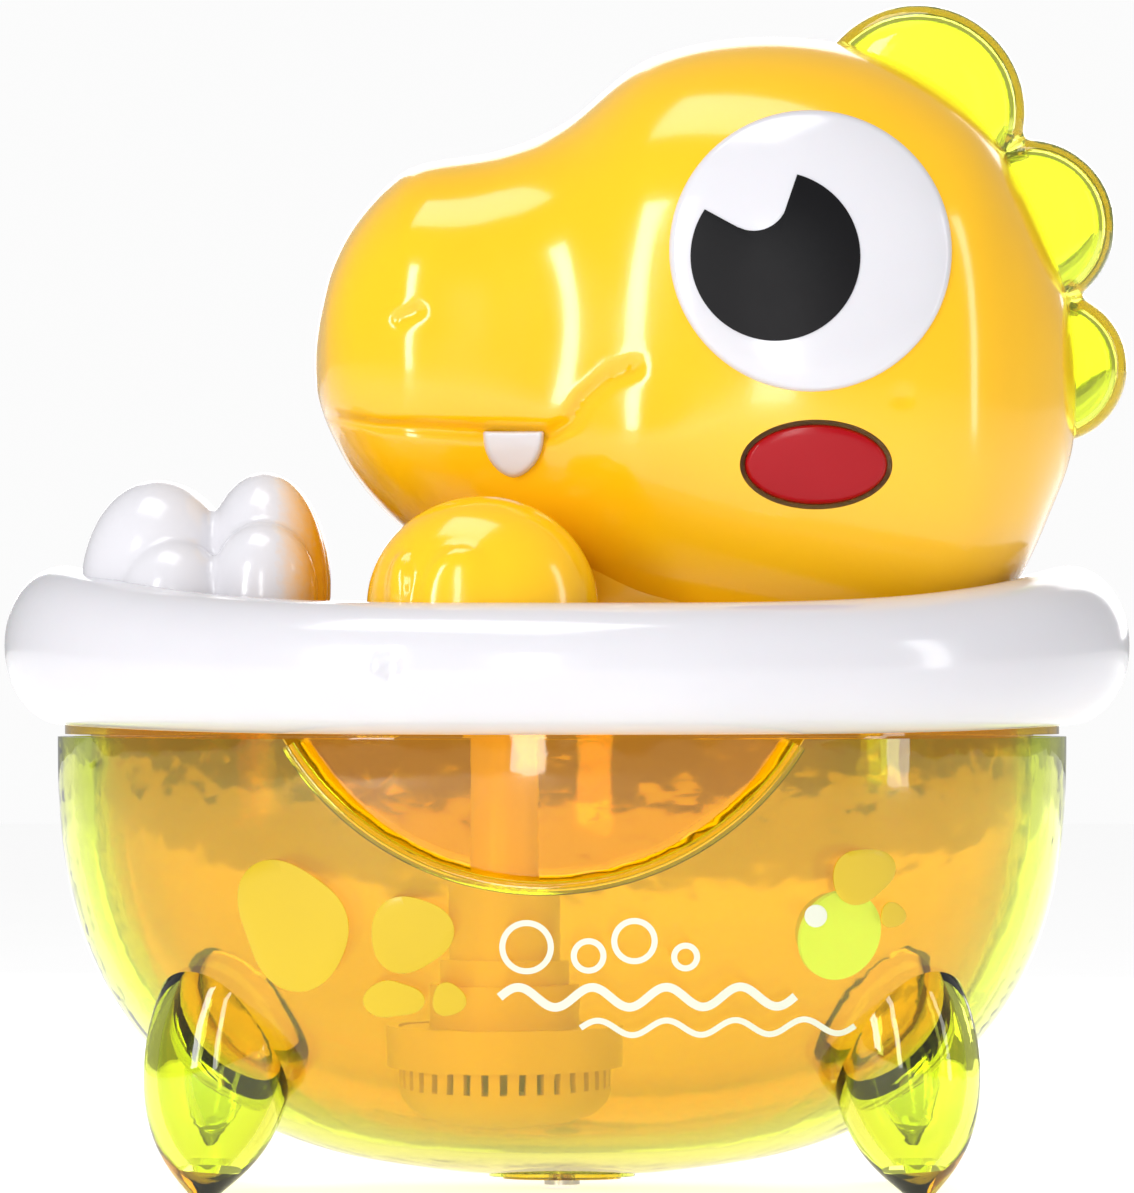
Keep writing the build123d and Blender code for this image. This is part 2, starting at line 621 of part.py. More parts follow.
with BuildPart() as foot_left:
    add([egg((x, -y, z), radii) for (x, y, z), radii in FOOT_LUMPS])
    add(rim_outside, mode=Mode.SUBTRACT)
    add(bath_plate(DECK_HALF_LENGTH, TUB_TOP, DECK_TOP), mode=Mode.SUBTRACT)
finish(foot_left, "foot_left")

with BuildPart() as foot_right:
    add(mirrored(foot_left.part))
finish(foot_right, "foot_right")

# ------------------------------------------------ stem, pump and strainer
with BuildPart() as riser_tube:
    for radius, bottom, top in RISER_STEPS:
        add(stem_rod(radius, bottom, top))
    add(stem_rod(RISER_BORE, BASE_BOTTOM, TANK_TOP), mode=Mode.SUBTRACT)
finish(riser_tube, "riser_tube")

with BuildPart() as strainer_cap:
    add(stem_rod(CAP_FLANGE_RADIUS, CAP_FLANGE_BOTTOM, CAP_TOP))
    with BuildSketch(Plane((STEM_X, 0, CAP_BOTTOM))):
        Circle(CAP_SKIRT_RADIUS)
    extrude(amount=CAP_FLANGE_BOTTOM - CAP_BOTTOM)
    fillet(edges().group_by(Axis.Z)[0], CAP_ROUND)
    add(stem_rod(BASE_RADIUS + CAP_GAP, BASE_BOTTOM - CAP_GAP, CAP_TOP), mode=Mode.SUBTRACT)
    add(stem_rod(CAP_SKIRT_RADIUS - CAP_WALL, CAP_BOTTOM + CAP_ROUND - CAP_WALL, CAP_TOP),
        mode=Mode.SUBTRACT)
    with BuildSketch(Plane((STEM_X, 0, SLOT_BOTTOM))):
        with PolarLocations(CAP_SKIRT_RADIUS, CAP_SLOTS):
            Rectangle(4 * CAP_WALL, SLOT_WIDTH)
    extrude(amount=SLOT_TOP - SLOT_BOTTOM, mode=Mode.SUBTRACT)
finish(strainer_cap, "strainer_cap")

with BuildPart() as pump_shaft:
    add(stem_rod(SHAFT_RADIUS, IMPELLER_BOTTOM, COUPLING_BOTTOM + SHAFT_GRIP))
finish(pump_shaft, "pump_shaft")

with BuildPart() as motor_shaft:
    add(stem_rod(SHAFT_RADIUS, COUPLING_TOP - SHAFT_GRIP, MOTOR_TOP - WALL))
finish(motor_shaft, "motor_shaft")

with BuildPart() as shaft_coupling:
    add(stem_rod(COUPLING_RADIUS, COUPLING_BOTTOM, COUPLING_TOP))
    add(stem_rod(SHAFT_RADIUS, COUPLING_BOTTOM, COUPLING_TOP), mode=Mode.SUBTRACT)
finish(shaft_coupling, "shaft_coupling")

with BuildPart() as impeller:
    with BuildSketch(Plane((STEM_X, 0, IMPELLER_BOTTOM))):
        Circle(HUB_RADIUS)
        with PolarLocations(IMPELLER_RADIUS / 2, 4):
            Rectangle(IMPELLER_RADIUS, BLADE)
        Circle(SHAFT_RADIUS, mode=Mode.SUBTRACT)
    extrude(amount=IMPELLER_TOP - IMPELLER_BOTTOM)
finish(impeller, "impeller")

with BuildPart() as blower_fan:
    with BuildSketch(Plane((STEM_X, 0, FAN_BOTTOM))):
        Circle(HUB_RADIUS)
        with PolarLocations(FAN_RADIUS / 2, 8):
            Rectangle(FAN_RADIUS, BLADE)
        Circle(SHAFT_RADIUS, mode=Mode.SUBTRACT)
    extrude(amount=FAN_TOP - FAN_BOTTOM)
finish(blower_fan, "blower_fan")

with BuildPart() as lower_bush:
    with BuildSketch(Plane((STEM_X, 0, BUSH_BOTTOM))):
        Circle(HUB_RADIUS)
        with PolarLocations(RISER_BORE / 2, 3):
            Rectangle(RISER_BORE - 2 * TOUCH, BLADE)
        Circle(SHAFT_RADIUS + RUNNING_GAP, mode=Mode.SUBTRACT)
    extrude(amount=BUSH_HEIGHT)
finish(lower_bush, "lower_bush")

with BuildPart() as blower_housing:
    add(stem_rod(HOUSING_RADIUS, DECK_TOP, HOUSING_TOP))
    add(stem_rod(HOUSING_RADIUS - CAP_WALL, DECK_TOP + CAP_WALL, HOUSING_TOP), mode=Mode.SUBTRACT)
    add(stem_rod(RISER_BORE, DECK_TOP, DECK_TOP + CAP_WALL), mode=Mode.SUBTRACT)
    with BuildSketch(Plane((STEM_X - HOUSING_RADIUS, 0, DECK_TOP + CAP_WALL))):
        Rectangle(HOUSING_RADIUS, DUCT_WIDTH - 2 * CAP_WALL)
    extrude(amount=DUCT_TOP - DECK_TOP - 2 * CAP_WALL, mode=Mode.SUBTRACT)
finish(blower_housing, "blower_housing")

with BuildPart() as upper_bush:
    with BuildSketch(Plane((STEM_X, 0, HOUSING_TOP))):
        Circle(HUB_RADIUS + 1)
        Circle(SHAFT_RADIUS + RUNNING_GAP, mode=Mode.SUBTRACT)
    extrude(amount=CAP_WALL)
finish(upper_bush, "upper_bush")

with BuildPart() as motor_mount:
    with BuildSketch(Plane((STEM_X, 0, HOUSING_TOP))):
        Circle(HOUSING_RADIUS)
        Circle(HUB_RADIUS + 1, mode=Mode.SUBTRACT)
    extrude(amount=CAP_WALL)
    with BuildSketch(Plane((STEM_X, 0, HOUSING_TOP))):
        with PolarLocations(HOUSING_RADIUS - 2 * CAP_WALL, 3):
            Circle(CAP_WALL)
    extrude(amount=MOTOR_BOTTOM - HOUSING_TOP)
    with BuildSketch(Plane((STEM_X, 0, MOTOR_BOTTOM - CAP_WALL))):
        Circle(HOUSING_RADIUS)
        Circle(COUPLING_RADIUS + 1, mode=Mode.SUBTRACT)
    extrude(amount=CAP_WALL)
finish(motor_mount, "motor_mount")

with BuildPart() as motor:
    add(stem_rod(MOTOR_RADIUS, MOTOR_BOTTOM, MOTOR_TOP))
    fillet(edges().group_by(Axis.Z)[-1], CAP_WALL)
    add(stem_rod(SHAFT_RADIUS + RUNNING_GAP, MOTOR_BOTTOM, MOTOR_TOP - 1), mode=Mode.SUBTRACT)
finish(motor, "motor")

# ------------------------------------------------------- foam outlet
with BuildPart() as foam_nozzle:
    duct_end = STEM_X - HOUSING_RADIUS
    with BuildSketch(Plane((NOZZLE_X, 0, DECK_TOP))):
        Circle(NOZZLE_RADIUS)
    extrude(amount=NOZZLE_TOP - DECK_TOP)
    with BuildSketch(Plane(((NOZZLE_X + duct_end) / 2, 0, DECK_TOP))):
        Rectangle(duct_end - NOZZLE_X, DUCT_WIDTH - 2 * TOUCH)
    extrude(amount=DUCT_TOP - DECK_TOP)
    with BuildSketch(Plane((NOZZLE_X, 0, DECK_TOP + CAP_WALL))):
        Circle(NOZZLE_RADIUS - CAP_WALL)
    extrude(amount=NOZZLE_TOP - DECK_TOP, mode=Mode.SUBTRACT)
    with BuildSketch(Plane(((NOZZLE_X + duct_end) / 2, 0, DECK_TOP + CAP_WALL))):
        Rectangle(duct_end - NOZZLE_X + 2, DUCT_WIDTH - 2 * CAP_WALL)
    extrude(amount=DUCT_TOP - DECK_TOP - 2 * CAP_WALL, mode=Mode.SUBTRACT)
    add(stem_rod(HOUSING_RADIUS, DECK_TOP, HOUSING_TOP), mode=Mode.SUBTRACT)
finish(foam_nozzle, "foam_nozzle")

with BuildPart() as foam_mesh:
    with BuildSketch(Plane((NOZZLE_X, 0, NOZZLE_TOP))):
        Circle(NOZZLE_RADIUS)
        Circle(NOZZLE_RADIUS - CAP_WALL, mode=Mode.SUBTRACT)
        with GridLocations(MESH_PITCH, 1, 8, 1):
            Rectangle(MESH_WIRE, 2 * NOZZLE_RADIUS - CAP_WALL)
        with GridLocations(1, MESH_PITCH, 1, 8):
            Rectangle(2 * NOZZLE_RADIUS - CAP_WALL, MESH_WIRE)
        Circle(NOZZLE_RADIUS, mode=Mode.INTERSECT)
    extrude(amount=MESH_THICK)
finish(foam_mesh, "foam_mesh")

with BuildPart() as outlet_ring:
    with BuildSketch(Plane((NOZZLE_X, 0, NOZZLE_TOP + MESH_THICK))):
        Circle(NOZZLE_RADIUS)
        Circle(NOZZLE_RADIUS - CAP_WALL, mode=Mode.SUBTRACT)
    extrude(amount=CAP_WALL)
    fillet(edges().group_by(Axis.Z)[-1], CAP_WALL / 2 - TOUCH)
finish(outlet_ring, "outlet_ring")

# ------------------------------------------------- batteries and electronics
with BuildPart() as battery_box:
    with BuildSketch(Plane((BOX_X, 0, DECK_TOP))):
        RectangleRounded(BOX_SIZE, BOX_SIZE, 3)
    extrude(amount=BOX_TOP - DECK_TOP)
    with BuildSketch(Plane((BOX_X, 0, DECK_TOP))):
        Rectangle(BOX_SIZE - 2 * BOX_WALL, BOX_SIZE - 2 * BOX_WALL)
    extrude(amount=BOX_TOP - BOX_WALL - DECK_TOP, mode=Mode.SUBTRACT)
finish(battery_box, "battery_box")

with BuildPart() as battery_cells:
    with BuildSketch(Plane((BOX_X, 0, CELL_BOTTOM))):
        with GridLocations(2 * CELL_SPREAD, 2 * CELL_SPREAD, 2, 2):
            Circle(CELL_RADIUS)
    extrude(amount=CELL_LENGTH - CELL_NUB)
    with BuildSketch(Plane((BOX_X, 0, CELL_BOTTOM))):
        with GridLocations(2 * CELL_SPREAD, 2 * CELL_SPREAD, 2, 2):
            Circle(CELL_RADIUS / 3)
    extrude(amount=CELL_LENGTH)
finish(battery_cells, "battery_cells")

with BuildPart() as battery_contacts:
    with BuildSketch(Plane((BOX_X, 0, CELL_BOTTOM + CELL_LENGTH))):
        with GridLocations(2 * CELL_SPREAD, 1, 2, 1):
            RectangleRounded(CELL_RADIUS, 3 * CELL_RADIUS, 1.5)
    extrude(amount=CONTACT_THICK)
finish(battery_contacts, "battery_contacts")

with BuildPart() as battery_door:
    door_start = HINGE_X + KNUCKLE_RADIUS + DOOR_GAP
    with BuildSketch(Plane((door_start + DOOR_LENGTH / 2 + 2, 0, DOOR_BOTTOM))):
        RectangleRounded(DOOR_LENGTH + 4, DOOR_LENGTH, 4)
    extrude(amount=DOOR_TOP - DOOR_BOTTOM)
    with BuildSketch(Plane.XZ.offset(-KNUCKLE_HALF)):
        with Locations((HINGE_X, HINGE_Z)):
            Circle(KNUCKLE_RADIUS)
    extrude(amount=2 * KNUCKLE_HALF)
    with BuildSketch(Plane(((HINGE_X + door_start) / 2 + 1, 0, DOOR_BOTTOM))):
        Rectangle(door_start - HINGE_X + 2, 2 * KNUCKLE_HALF)
    extrude(amount=KNUCKLE_RADIUS)
    with BuildSketch(Plane.XZ.offset(-KNUCKLE_HALF)):
        with Locations((HINGE_X, HINGE_Z)):
            Circle(PIN_RADIUS + RUNNING_GAP)
    extrude(amount=2 * KNUCKLE_HALF, mode=Mode.SUBTRACT)
    with BuildSketch(Plane((DOOR_SCREW_X, 0, DOOR_BOTTOM))):
        Circle(SCREW_RADIUS)
    extrude(amount=DOOR_TOP - DOOR_BOTTOM, mode=Mode.SUBTRACT)
finish(battery_door, "battery_door")

with BuildPart() as hinge_pin:
    pin_end = lug_y + LUG_WIDTH / 2
    with BuildSketch(Plane.XZ.offset(-pin_end)):
        with Locations((HINGE_X, HINGE_Z)):
            Circle(PIN_RADIUS)
    extrude(amount=2 * pin_end)
finish(hinge_pin, "hinge_pin")

with BuildPart() as door_gasket:
    with BuildSketch(Plane((BOX_X, 0, DOOR_TOP))):
        RectangleRounded(BOX_SIZE + 2, BOX_SIZE + 2, 3)
        RectangleRounded(BOX_SIZE - 1, BOX_SIZE - 1, 2, mode=Mode.SUBTRACT)
    extrude(amount=TANK_TOP - DOOR_TOP)
finish(door_gasket, "door_gasket")

with BuildPart() as door_screw:
    with BuildSketch(Plane((DOOR_SCREW_X, 0, DOOR_BOTTOM - SCREW_HEAD_HEIGHT))):
        Circle(SCREW_HEAD_RADIUS)
    extrude(amount=SCREW_HEAD_HEIGHT)
    with BuildSketch(Plane((DOOR_SCREW_X, 0, DOOR_BOTTOM))):
        Circle(SCREW_RADIUS)
    extrude(amount=DECK_TOP - DOOR_BOTTOM)
finish(door_screw, "door_screw")

with BuildPart() as tank_screw:
    with BuildSketch(Plane((TUB_X, 0, BOSS_BOTTOM - SCREW_HEAD_SUNK))):
        Circle(SCREW_HEAD_RADIUS)
    extrude(amount=SCREW_HEAD_SUNK)
    with BuildSketch(Plane((TUB_X, 0, BOSS_BOTTOM))):
        Circle(SCREW_RADIUS)
    extrude(amount=TANK_BOTTOM - BOSS_BOTTOM - COLLAR_STEP)
finish(tank_screw, "tank_screw")

with BuildPart() as main_board:
    with BuildSketch(Plane((BOX_X, 0, BOX_TOP))):
        RectangleRounded(BOARD_LENGTH, BOARD_WIDTH, 2)
    extrude(amount=BOARD_THICK)
    with BuildSketch(Plane((BOX_X - BOARD_LENGTH / 4, 0, BOX_TOP + BOARD_THICK))):
        Rectangle(CHIP_LENGTH, CHIP_WIDTH)
    extrude(amount=CHIP_THICK)
finish(main_board, "main_board")

with BuildPart() as speaker:
    with BuildSketch(Plane((BOX_X + SPEAKER_SHIFT, 0, BOX_TOP + BOARD_THICK))):
        Circle(MAGNET_RADIUS)
    extrude(amount=MAGNET_HEIGHT)
    with BuildSketch(Plane((BOX_X + SPEAKER_SHIFT, 0, BOX_TOP + BOARD_THICK + MAGNET_HEIGHT))):
        Circle(CONE_RADIUS)
    extrude(amount=CONE_HEIGHT)
finish(speaker, "speaker")
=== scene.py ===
"""Bath foam maker: a dinosaur in a claw-foot tub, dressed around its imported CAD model."""
import json
from math import atan2, cos, pi, radians, sin, sqrt

import bmesh
import bpy
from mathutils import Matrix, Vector


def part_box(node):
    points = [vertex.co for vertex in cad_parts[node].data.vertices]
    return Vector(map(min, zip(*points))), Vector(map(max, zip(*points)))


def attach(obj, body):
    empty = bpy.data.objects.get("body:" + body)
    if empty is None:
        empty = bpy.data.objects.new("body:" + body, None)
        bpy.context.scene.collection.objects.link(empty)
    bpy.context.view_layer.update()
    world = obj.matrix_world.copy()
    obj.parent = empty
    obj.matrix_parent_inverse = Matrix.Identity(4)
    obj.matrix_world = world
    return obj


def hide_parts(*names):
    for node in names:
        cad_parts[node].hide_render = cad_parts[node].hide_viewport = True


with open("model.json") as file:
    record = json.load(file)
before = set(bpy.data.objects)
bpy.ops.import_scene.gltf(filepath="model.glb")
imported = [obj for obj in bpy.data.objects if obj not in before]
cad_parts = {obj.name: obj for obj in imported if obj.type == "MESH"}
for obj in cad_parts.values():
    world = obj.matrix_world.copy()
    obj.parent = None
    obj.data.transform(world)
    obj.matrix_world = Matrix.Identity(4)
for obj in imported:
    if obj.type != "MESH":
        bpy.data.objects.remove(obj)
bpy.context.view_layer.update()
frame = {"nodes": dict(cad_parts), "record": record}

MM = 0.001
UNIT = "upper_unit"
SIDES = ((-1, "left"), (1, "right"))     # sign of Y and name of each side
EULER = 2.718

# ------------------------------------------------------------ shared shapes
TUB_LOW, TUB_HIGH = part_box("outer_tub")
TUB_X = (TUB_LOW[0] + TUB_HIGH[0]) / 2 / MM      # millimetres from here on
TUB_HALF = (TUB_HIGH[0] - TUB_LOW[0]) / 2 / MM
TUB_TOP = TUB_HIGH[2] / MM
TUB_FLOOR = 2.1
DEPTH_RATIO = 0.74
BATH_POWER = 2.6
HEAD_POWER = 2.6
TABLE_STEPS = 40                         # rows of the head's table between two sections

# the head's sections along X: x, lowest z, highest z, half width
HEAD = (
    (-38.2, 125.0, 125.0, 0.0),
    (-37.9, 121.0, 129.0, 6.0),
    (-37.0, 117.5, 134.0, 12.0),
    (-35.4, 113.6, 139.7, 17.0),
    (-32.2, 107.9, 145.8, 21.5),
    (-27.0, 101.8, 151.8, 25.0),
    (-21.9, 98.5, 154.9, 27.0),
    (-10.0, 94.5, 157.0, 28.6),
    (0.0, 89.0, 161.3, 30.4),
    (12.5, 82.0, 170.8, 35.0),
    (29.0, 79.0, 174.1, 38.0),
    (45.8, 79.0, 172.0, 38.0),
    (59.5, 82.5, 164.7, 34.0),
    (68.0, 91.5, 153.5, 26.5),
    (73.9, 104.1, 140.5, 17.5),
    (76.3, 111.0, 131.5, 10.0),
    (77.0, 117.0, 125.5, 4.5),
    (77.15, 121.2, 121.2, 0.0),
)


def smooth_between(rows, t):
    """Catmull-Rom through the rows at t, counted in rows."""
    i = min(int(t), len(rows) - 2)
    f = t - i
    a, b, c, d = (rows[max(0, min(len(rows) - 1, k))] for k in (i - 1, i, i + 1, i + 2))
    out = []
    for p, q, r, s in zip(a, b, c, d):
        bend = 2 * p - 5 * q + 4 * r - s + f * (3 * (q - r) + s - p)
        out.append(q + 0.5 * f * (r - p + f * bend))
    return out


HEAD_ROWS = range(TABLE_STEPS * (len(HEAD) - 1) + 1)
HEAD_TABLE = [smooth_between(HEAD, k / TABLE_STEPS) for k in HEAD_ROWS]


def head_section(x):
    """Lowest z, highest z and half width of the head at x."""
    for one, two in zip(HEAD_TABLE, HEAD_TABLE[1:]):
        if one[0] <= x <= two[0]:
            f = (x - one[0]) / max(two[0] - one[0], 1e-6)
            return [one[k] + f * (two[k] - one[k]) for k in (1, 2, 3)]
    return [121.0, 121.0, 0.0]


def head_side(x, z):
    """How far out the side of the head is at x, z."""
    low, high, wide = head_section(x)
    up = abs((z - (low + high) / 2) / max((high - low) / 2, 1e-6))
    return wide * max(0.0, 1 - up ** HEAD_POWER) ** (1 / HEAD_POWER)


def tub_side(x, z):
    """How far out the tub's long side is at x, z."""
    drop = min(1.0, max(0.0, (TUB_TOP - z) / (TUB_TOP - TUB_FLOOR)))
    reach = TUB_HALF * (1 - drop ** BATH_POWER) ** (1 / BATH_POWER)
    across = min(1.0, abs(x - TUB_X) / max(reach, 1e-6))
    return DEPTH_RATIO * reach * sqrt(1 - across * across)


def line_distance(x, z, points):
    """Distance from x, z to a run of straight pieces."""
    best = 1e9
    for (ax, az), (bx, bz) in zip(points, points[1:]):
        dx, dz = bx - ax, bz - az
        f = max(0.0, min(1.0, ((x - ax) * dx + (z - az) * dz) / (dx * dx + dz * dz)))
        best = min(best, sqrt((x - ax - f * dx) ** 2 + (z - az - f * dz) ** 2))
    return best


def bump(distance, width):
    """A soft bell: 1 in the middle, almost 0 at twice the width."""
    return EULER ** -((distance / width) ** 2)


# ---------------------------------------------------------------- materials
MOTTLE_SCALE, CLEAR_MOTTLE_SCALE = 22, 14    # features per metre of the slow colour changes
SHEEN_SCALE, CLEAR_SHEEN_SCALE = 160, 120    # of the roughness
GRAIN_SCALE, GRAIN_DEPTH = 900, 0.0002       # of the fine relief, and its depth in metres
RIPPLE_SCALE, RIPPLE_DEPTH = 60, 0.0003      # of the waviness of clear walls
LAMP_TINT = 0.2                              # how much of a clear wall's tint a lamp picks up


def new_material(name):
    """An empty node material: it, its nodes, its links and its main shader."""
    mat = bpy.data.materials.new(name)
    mat.use_nodes = True
    nodes, links = mat.node_tree.nodes, mat.node_tree.links
    return mat, nodes, links, nodes["Principled BSDF"]


def add_noise(nodes, links, scale, detail):
    """Noise in the object's own coordinates."""
    noise = nodes.new("ShaderNodeTexNoise")
    where = nodes.new("ShaderNodeTexCoord")
    links.new(where.outputs["Object"], noise.inputs["Vector"])
    noise.inputs["Scale"].default_value = scale
    noise.inputs["Detail"].default_value = detail
    return noise


def vary_colour(nodes, links, shader, light, dark, scale):
    """Slow mottling between two close tints."""
    noise = add_noise(nodes, links, scale, 3.0)
    ramp = nodes.new("ShaderNodeValToRGB")
    ramp.color_ramp.elements[0].position = 0.35
    ramp.color_ramp.elements[1].position = 0.65
    ramp.color_ramp.elements[0].color = (*dark, 1)
    ramp.color_ramp.elements[1].color = (*light, 1)
    links.new(noise.outputs["Fac"], ramp.inputs["Fac"])
    links.new(ramp.outputs["Color"], shader.inputs["Base Color"])


def vary_roughness(nodes, links, shader, low, high, scale):
    """Roughness that wanders between low and high."""
    noise = add_noise(nodes, links, scale, 6.0)
    span = nodes.new("ShaderNodeMapRange")
    span.inputs["To Min"].default_value = low
    span.inputs["To Max"].default_value = high
    links.new(noise.outputs["Fac"], span.inputs["Value"])
    links.new(span.outputs["Result"], shader.inputs["Roughness"])


def add_bump(nodes, links, shader, scale, strength, distance):
    """Fine relief on the surface."""
    noise = add_noise(nodes, links, scale, 4.0)
    relief = nodes.new("ShaderNodeBump")
    relief.inputs["Strength"].default_value = strength
    relief.inputs["Distance"].default_value = distance
    links.new(noise.outputs["Fac"], relief.inputs["Height"])
    links.new(relief.outputs["Normal"], shader.inputs["Normal"])


def moulded(name, light, dark, rough=(0.12, 0.22), coat=0.35, grain=0.05, metal=0.0, sss=0.0,
            shine=0.5):
    """Opaque moulded plastic or metal with slight flow marks and fine grain."""
    mat, nodes, links, shader = new_material(name)
    vary_colour(nodes, links, shader, light, dark, MOTTLE_SCALE)
    vary_roughness(nodes, links, shader, *rough, SHEEN_SCALE)
    add_bump(nodes, links, shader, GRAIN_SCALE, grain, GRAIN_DEPTH)
    shader.inputs["Metallic"].default_value = metal
    shader.inputs["Specular IOR Level"].default_value = shine
    shader.inputs["Coat Weight"].default_value = coat
    shader.inputs["Coat Roughness"].default_value = 0.06
    shader.inputs["Subsurface Weight"].default_value = sss
    shader.inputs["Subsurface Scale"].default_value = 0.004
    return mat


def clear(name, light, dark, transmission, rough, grain=0.01, ior=1.46):
    """Tinted see-through plastic."""
    mat, nodes, links, shader = new_material(name)
    vary_colour(nodes, links, shader, light, dark, CLEAR_MOTTLE_SCALE)
    vary_roughness(nodes, links, shader, *rough, CLEAR_SHEEN_SCALE)
    add_bump(nodes, links, shader, RIPPLE_SCALE, grain, RIPPLE_DEPTH)
    shader.inputs["Transmission Weight"].default_value = transmission
    shader.inputs["IOR"].default_value = ior
    shader.inputs["Coat Weight"].default_value = 0.15
    shader.inputs["Coat Roughness"].default_value = 0.04
    # lamps and diffuse light pass straight through, tinted, to what is inside
    rays = nodes.new("ShaderNodeLightPath")
    inner = nodes.new("ShaderNodeMath")
    inner.operation = "MAXIMUM"
    links.new(rays.outputs["Is Shadow Ray"], inner.inputs[0])
    links.new(rays.outputs["Is Diffuse Ray"], inner.inputs[1])
    through = nodes.new("ShaderNodeBsdfTransparent")
    through.inputs["Color"].default_value = (*(v ** LAMP_TINT for v in light), 1)
    mix = nodes.new("ShaderNodeMixShader")
    links.new(inner.outputs["Value"], mix.inputs["Fac"])
    links.new(shader.outputs["BSDF"], mix.inputs[1])
    links.new(through.outputs["BSDF"], mix.inputs[2])
    links.new(mix.outputs["Shader"], nodes["Material Output"].inputs["Surface"])
    return mat


LOOKS = {
    "tub_plastic": clear("clear_green", (0.86, 0.93, 0.14), (0.82, 0.90, 0.11), 1.0, (0.01, 0.03)),
    "tank_plastic": clear("clear_amber", (1.0, 0.62, 0.01), (0.99, 0.59, 0.008), 1.0, (0.02, 0.05)),
    "crest_plastic": clear("clear_crest", (0.80, 0.88, 0.14), (0.74, 0.83, 0.10),
                           0.95, (0.03, 0.08)),
    "white_plastic": moulded("white_gloss", (0.68, 0.67, 0.71), (0.65, 0.64, 0.68), sss=0.05),
    "yellow_plastic": moulded("yellow_gloss", (0.95, 0.53, 0.005), (0.93, 0.50, 0.004), sss=0.04),
    "stem_plastic": moulded("yellow_satin", (0.98, 0.74, 0.05), (0.95, 0.69, 0.04),
                            (0.25, 0.38), 0.1),
    "red_plastic": moulded("red_gloss", (0.38, 0.0, 0.006), (0.33, 0.0, 0.004),
                           coat=0.05, shine=0.25),
    "black_ink": moulded("black_satin", (0.004, 0.004, 0.005), (0.007, 0.006, 0.007),
                         (0.3, 0.4), 0.0, shine=0.15),
    "print_ink": moulded("pale_ink", (0.72, 0.74, 0.62), (0.66, 0.69, 0.56), (0.3, 0.45), 0.1),
    "soft_silicone": moulded("silicone", (0.80, 0.84, 0.55), (0.74, 0.79, 0.48),
                             (0.35, 0.5), 0.0, sss=0.2),
    "dark_plastic": moulded("dark_satin", (0.03, 0.03, 0.035), (0.02, 0.02, 0.022),
                            (0.35, 0.5), 0.0, 0.2),
    "steel": moulded("brushed_steel", (0.60, 0.60, 0.62), (0.50, 0.50, 0.53),
                     (0.22, 0.36), 0.0, 0.1, 1.0),
    "brass": moulded("brass", (0.80, 0.58, 0.24), (0.70, 0.48, 0.18), (0.22, 0.34), 0.0, 0.1, 1.0),
    "circuit": moulded("board_green", (0.02, 0.20, 0.06), (0.015, 0.15, 0.04), (0.3, 0.45), 0.1),
    "net": moulded("nylon_net", (0.80, 0.80, 0.82), (0.70, 0.70, 0.74), (0.5, 0.65), 0.0, 0.3),
}
LEAF_INK = moulded("leaf_ink", (0.66, 0.46, 0.004), (0.60, 0.41, 0.004), (0.3, 0.42), 0.1)

for row in frame["record"]["subparts"]:
    node = frame["nodes"][row["node"]]
    node.data.materials.clear()
    node.data.materials.append(LOOKS[row["material_slot"]])


# ------------------------------------------------------------ mesh builders
ROUND = 96                # points round an oval outline
EDGE_RINGS = 4            # rings of a patch that turn down at its edge


def linked(name, mesh):
    """A new object in the scene that shows the mesh."""
    piece = bpy.data.objects.new(name, mesh)
    bpy.context.scene.collection.objects.link(piece)
    return piece


def finish_piece(name, points, faces, slot, replaces=(), body=UNIT, look=None, angle=40):
    """Make a mesh object from millimetre points and hang it on its body."""
    mesh = bpy.data.meshes.new(name)
    mesh.from_pydata([Vector(p) * MM for p in points], [], faces)
    tidy = bmesh.new()
    tidy.from_mesh(mesh)
    bmesh.ops.remove_doubles(tidy, verts=tidy.verts, dist=1e-7)
    bmesh.ops.dissolve_degenerate(tidy, edges=tidy.edges, dist=1e-7)
    bmesh.ops.recalc_face_normals(tidy, faces=tidy.faces)
    tidy.to_mesh(mesh)
    tidy.free()
    piece = linked(name, mesh)
    mesh.materials.append(look or LOOKS[slot])
    mesh.shade_smooth()
    mesh.set_sharp_from_angle(angle=radians(angle))
    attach(piece, body)
    if replaces:
        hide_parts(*replaces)
    return piece


def grid_faces(rows, columns, closed_rows=False, closed_columns=False):
    """Four-sided faces over a grid of points, row by row."""
    faces = []
    for i in range(rows if closed_rows else rows - 1):
        for j in range(columns if closed_columns else columns - 1):
            a, b = i * columns + j, i * columns + (j + 1) % columns
            c, d = ((i + 1) % rows) * columns + (j + 1) % columns, ((i + 1) % rows) * columns + j
            faces.append((a, b, c, d))
    return faces


def apply_modifiers(piece):
    """Freeze a piece's modifiers into its mesh."""
    graph = bpy.context.evaluated_depsgraph_get()
    frozen = bpy.data.meshes.new_from_object(piece.evaluated_get(graph))
    piece.modifiers.clear()
    piece.data = frozen


